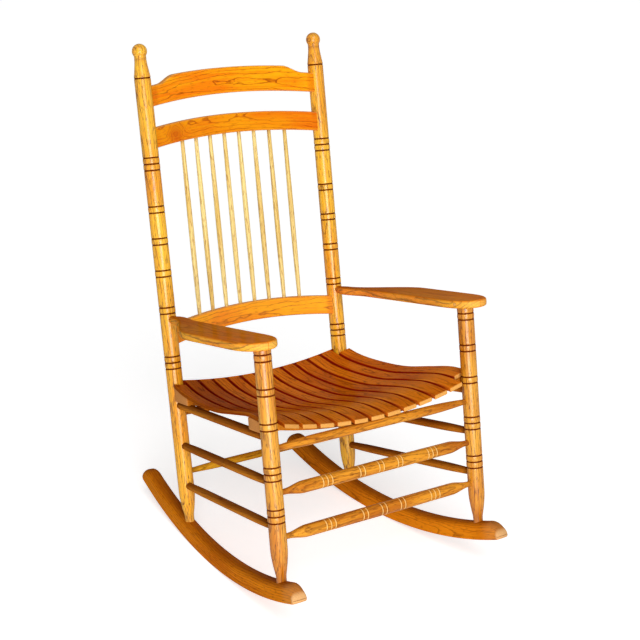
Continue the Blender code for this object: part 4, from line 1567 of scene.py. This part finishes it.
    def cleat_skin(self, span: tuple[float, float], waist: float) -> Skin:
        """A soft-edged rectangle carried across the chair under the slats.

        Its top follows the underside of the slats, and its underside is level from
        front to back. Between its feet on the side rails it is thinner.

        Args:
            span: Its front and rear edge.
            waist: Its thickness between the feet.

        Returns:
            The cleat's skin.
        """
        middle, thick = sum(span) / 2, self.cleat_thickness
        reach = self.rail_x(middle) + self.cleat_overhang
        s, inset = eased_ends(2 * reach, self.cleat_ease, self.soft_steps, self.cleat_stations)
        lane = (s - reach) / float(self.pitch(middle))
        half = (span[1] - span[0]) / 2 - inset
        section = soft_section(half, inset, thick - inset, *self.cleat_soft, self.soft_steps)
        depth = middle + section[..., 0]
        lanes = np.broadcast_to(lane[:, None], depth.shape)
        drop = self.thickness + self.fit
        foot = smooth((np.abs(lane) - self.cleat_foot) / self.cleat_foot_fade)
        deep = waist + (thick - waist) * foot
        floor = (self.top(lane, np.full_like(lane, middle)) - drop - deep)[:, None]
        share = section[..., 1] / thick
        z = floor + share * (self.top(lanes, depth) - drop - floor)
        rings = np.stack([lanes * self.pitch(depth), depth, z], -1)
        along = np.broadcast_to(s[:, None], depth.shape)
        local = np.stack([section[..., 0], section[..., 1], along], -1)
        skin = Skin(rings, self.shop.billet(depth=self.cleat_log_depth).cut(local))
        near = np.minimum(s, s[-1] - s)
        return skin.mark(Mark.BUTT, self.cleat_butt * fade(near, 0.0, self.cleat_butt_fade))

    def lip_skin(self) -> Skin:
        """The strip on the rear cleat that closes the gaps between the slats' ends.

        Returns:
            Its skin, flush with the top of the slats and with the cleat's underside, and
            dark where the gaps end.
        """
        span = self.cleats()["rear_cleat"]
        rear = span[1] + self.rear_lip
        room = self.posts.back_spread / 2 - self.posts.diameter / 2
        pitch = float(self.pitch(rear))
        lane = np.linspace(-room, room, self.lip_stations) / pitch
        flat = np.full_like(lane, self.rear_lip / 2)
        none, whole = np.zeros_like(lane), np.ones_like(lane)
        section = soft_section(flat, none, whole, self.lip_soft, self.lip_soft, self.lip_steps)
        depth = span[1] + self.rear_lip / 2 + section[..., 0]
        lanes = np.broadcast_to(lane[:, None], depth.shape)
        under = self.thickness + self.fit + self.cleat_thickness
        floor = (self.top(lane, np.full_like(lane, sum(span) / 2)) - under)[:, None]
        z = floor + section[..., 1] * (self.top(lanes, depth) - floor)
        rings = np.stack([lanes * self.pitch(depth), depth, z], -1)
        local = np.stack([z - floor, section[..., 0], rings[..., 0]], -1)
        skin = Skin(rings, self.shop.billet(depth=self.cleat_log_depth).cut(local))
        # Painted shade: dark lines where the gaps between the slats end
        gap = (1 - self.rear_width / pitch) / 2
        line = fade(np.abs(lane - np.floor(lane) - 0.5), gap, gap)[:, None]
        line = line * (section[..., 1] > self.lip_top)
        return skin.mark(Mark.PATINA_AND_SHADE, line).mark(Mark.BURN_AND_SHADE, self.lip_gap_shade * line)

    def dress(self) -> None:
        """Makes the slats, the cleats and the rear cleat's lip."""
        for number in range(1, self.count + 1):
            skin = self.slat_skin(number - (self.count + 1) / 2)
            self.shop.replace(f"seat_slat_{number:02d}", skin, Oak.SEAT)
        waists = {"front_cleat": self.cleat_waist, "rear_cleat": self.cleat_thickness}
        for node, span in self.cleats().items():
            self.shop.replace(node, self.cleat_skin(span, waists[node]), Oak.BROWN)
        self.shop.add("rear_cleat_lip", self.lip_skin(), Oak.SEAT)


@dataclass
class Rockers:
    """Two sawn rockers, toed in to follow the posts."""

    shop: Workshop
    posts: Posts
    radius: float = 1.047
    height: float = 0.041
    thickness: float = 0.036
    centre_y: float = 0.1601
    drop: float = 0.061
    front_reach: float = 0.080
    rear_reach: float = 0.239
    round: float = 0.014
    front_ease: float = 0.35
    rear_ease: float = 0.7
    nose: float = 0.034
    heel: float = 0.006
    soft: float = 0.0025
    nose_steps: int = 26
    stations: int = 120
    round_steps: int = 9
    nose_bloom: float = 0.1
    bloom_reach: float = 1.6
    nose_butt: float = 0.7
    butt_start: float = 0.84
    butt_fade: float = 0.15
    top_shade: float = 0.5

    @property
    def centre_z(self) -> float:
        """Height of the centre of the running edge."""
        return self.radius - self.drop

    def top_at(self, y: float) -> float:
        """Height of the upper edge at a depth."""
        return self.centre_z - math.sqrt((self.radius - self.height) ** 2 - (y - self.centre_y) ** 2)

    def skin(self, side: Side) -> Skin:
        """A section with rounded upper edges carried along the running circle.

        The top falls to the running edge in a quarter circle at each end, and the ends
        are drawn in where the upper edge is rounded.

        Args:
            side: The side of the chair.

        Returns:
            The rocker's skin.
        """
        toe = (self.posts.back_spread - self.posts.front_spread) / 2 / self.posts.seat_depth
        first = math.asin((-self.front_reach - self.centre_y) / self.radius)
        last = math.asin((self.posts.seat_depth + self.rear_reach - self.centre_y) / self.radius)
        length = (last - first) * self.radius
        turn = np.linspace(0, np.pi / 2, self.nose_steps)
        near = self.nose * (1 - np.cos(turn))
        board = np.linspace(self.nose, length - self.nose, self.stations)[1:-1]
        s = np.concatenate([near, board, length - near[::-1]])
        away = np.minimum(s, length - s)
        bend = np.clip(1 - away / self.nose, 0, 1)
        high = self.height - self.nose * (1 - np.sqrt(1 - bend**2))
        low = self.heel * (1 - np.sqrt(1 - np.clip(1 - away / self.heel, 0, 1) ** 2))
        flat = np.full_like(s, self.thickness / 2)
        section = soft_section(flat, low, high, self.soft, self.round, self.round_steps)
        offset, up = section[..., 0], section[..., 1]
        out = np.clip((np.abs(offset) - self.thickness / 2 + self.round) / self.round, 0, 1)
        drawn = self.round * (1 - np.sqrt(1 - out**2))
        shift = -side.value * toe * offset
        start = first + (shift + self.front_ease * drawn) / self.radius
        end = last + (shift - self.rear_ease * drawn) / self.radius
        angle = start + (end - start) * (s / length)[:, None]
        y = self.centre_y + (self.radius - up) * np.sin(angle)
        z = self.centre_z - (self.radius - up) * np.cos(angle)
        x = side.value * (self.posts.front_spread / 2 + toe * y) + offset
        local = np.stack([up, offset, np.broadcast_to(s[:, None], up.shape)], -1)
        skin = Skin(np.stack([x, y, z], -1), self.shop.billet().cut(local))
        skin.mark(Mark.PALE, self.nose_bloom * smooth(self.bloom_reach - s / self.nose))
        butt = smooth((bend - self.butt_start) / self.butt_fade) * (s < length / 2)
        skin.mark(Mark.BUTT, self.nose_butt * butt)
        # Painted shade on the upper rounding
        above = smooth((up - high[:, None] + self.round) / self.round)
        return skin.mark(Mark.PATINA_AND_SHADE, self.top_shade * above)

    def dress(self) -> None:
        """Makes both rockers."""
        for side in Side:
            self.shop.replace(f"rocker_{side.tag}", self.skin(side), Oak.ROCKER)


# studio


@dataclass
class Studio:
    """Camera, light and floor."""

    place: Triple = (-1.8863, -2.6499, 1.6870)
    turn: Triple = (70.7084, -2.2717, -35.0524)
    lens: float = 84.375
    shift: Pair = (-0.0006, 0.0016)
    sensor: float = 36.0
    sight: float = 200.0
    sun: float = 1.35
    sun_angle: float = 30.0
    sun_turn: Triple = (46.0, 0.0, -24.0)
    box_power: float = 96.0
    box_size: Pair = (2.0, 1.6)
    box_place: Triple = (-1.78, -3.36, 1.0)
    box_turn: Triple = (86.0, 0.0, -28.0)
    sky: float = 0.16
    floor_reach: float = 40.0
    floor_colour: float = 0.88
    floor_glow: float = 0.6

    def camera(self) -> None:
        """Stands the camera where the photographer stood."""
        data = bpy.data.cameras.new("camera")
        data.sensor_width = self.sensor
        data.lens = self.lens
        data.shift_x, data.shift_y = self.shift
        data.clip_end = self.sight
        camera = bpy.data.objects.new("camera", data)
        camera.location = self.place
        camera.rotation_euler = [math.radians(angle) for angle in self.turn]
        bpy.context.scene.collection.objects.link(camera)
        bpy.context.scene.camera = camera

    def lamp(self, name: str, kind: str, power: float, turn: Triple) -> bpy.types.Object:
        """A lamp that the camera doesn't see.

        Args:
            name: The lamp's name.
            kind: Its type.
            power: Its strength.
            turn: Its turn in degrees.

        Returns:
            The lamp.
        """
        data = bpy.data.lights.new(name, kind)
        data.energy = power
        lamp = bpy.data.objects.new(name, data)
        lamp.rotation_euler = [math.radians(angle) for angle in turn]
        lamp.visible_camera = False
        bpy.context.scene.collection.objects.link(lamp)
        return lamp

    def seen(self, graph: Graph, unseen: float, level: float) -> Wire:
        """A grey that is seen, straight or in a reflection, and another that only lights.

        Args:
            graph: The nodes of the floor or of the sky.
            unseen: The grey that lights.
            level: The grey that is seen.

        Returns:
            The colour.
        """
        kinds = ("Is Camera Ray", "Is Glossy Ray", "Is Transmission Ray")
        camera, glossy, clear = (graph.node("ShaderNodeLightPath", {}, {}, kind) for kind in kinds)
        return graph.mix(camera.larger(glossy).larger(clear), grey(unseen), grey(level))

    def light(self) -> None:
        """A wide softbox beside the camera, a broad sun above it and an even sky."""
        sun = self.lamp("sun", "SUN", self.sun, self.sun_turn)
        sun.data.angle = math.radians(self.sun_angle)
        box = self.lamp("softbox", "AREA", self.box_power, self.box_turn)
        box.data.shape = "RECTANGLE"
        box.data.size, box.data.size_y = self.box_size
        box.location = self.box_place
        world = bpy.data.worlds.new("sky")
        world.use_nodes = True
        bpy.context.scene.world = world
        graph = Graph(world.node_tree)
        dome = graph.node("ShaderNodeBackground", {}, {"Color": self.seen(graph, self.sky, 1.0)})
        graph.node("ShaderNodeOutputWorld", {}, {"Surface": dome})

    def floor(self) -> None:
        """A plain white floor that keeps the chair's shadow."""
        reach = self.floor_reach
        mesh = bpy.data.meshes.new("floor")
        edges = [(-reach, -reach, 0), (reach, -reach, 0), (reach, reach, 0), (-reach, reach, 0)]
        mesh.from_pydata(edges, [], [(0, 1, 2, 3)])
        paint = bpy.data.materials.new("floor")
        paint.use_nodes = True
        graph = Graph(paint.node_tree)
        matt = graph.node("ShaderNodeBsdfDiffuse", {}, {"Color": grey(self.floor_colour)})
        lit = self.seen(graph, 0.0, self.floor_glow)
        glow = graph.node("ShaderNodeEmission", {}, {"Color": lit})
        both = graph.node("ShaderNodeAddShader", {}, {0: matt, 1: glow})
        graph.node("ShaderNodeOutputMaterial", {}, {"Surface": both})
        mesh.materials.append(paint)
        floor = bpy.data.objects.new("floor", mesh)
        bpy.context.scene.collection.objects.link(floor)

    def set_up(self) -> None:
        """Camera first, then the light and the floor."""
        self.camera()
        self.light()
        self.floor()
        bpy.context.scene.view_settings.view_transform = "Standard"


def main() -> None:
    """Builds the chair around its solids and sets up the studio."""
    logging.basicConfig(level=logging.INFO, format="%(name)s %(message)s")
    for old in list(bpy.data.objects):
        bpy.data.objects.remove(old, do_unlink=True)
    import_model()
    Studio().set_up()
    shop = Workshop(Stance())
    posts = Posts(shop)
    rockers = Rockers(shop, posts)
    posts.dress(rockers)
    Rungs(shop, posts).dress()
    Back(shop, posts).dress()
    Arms(shop, posts).dress()
    Seat(shop, posts).dress()
    rockers.dress()


if __name__ == "__main__":
    main()
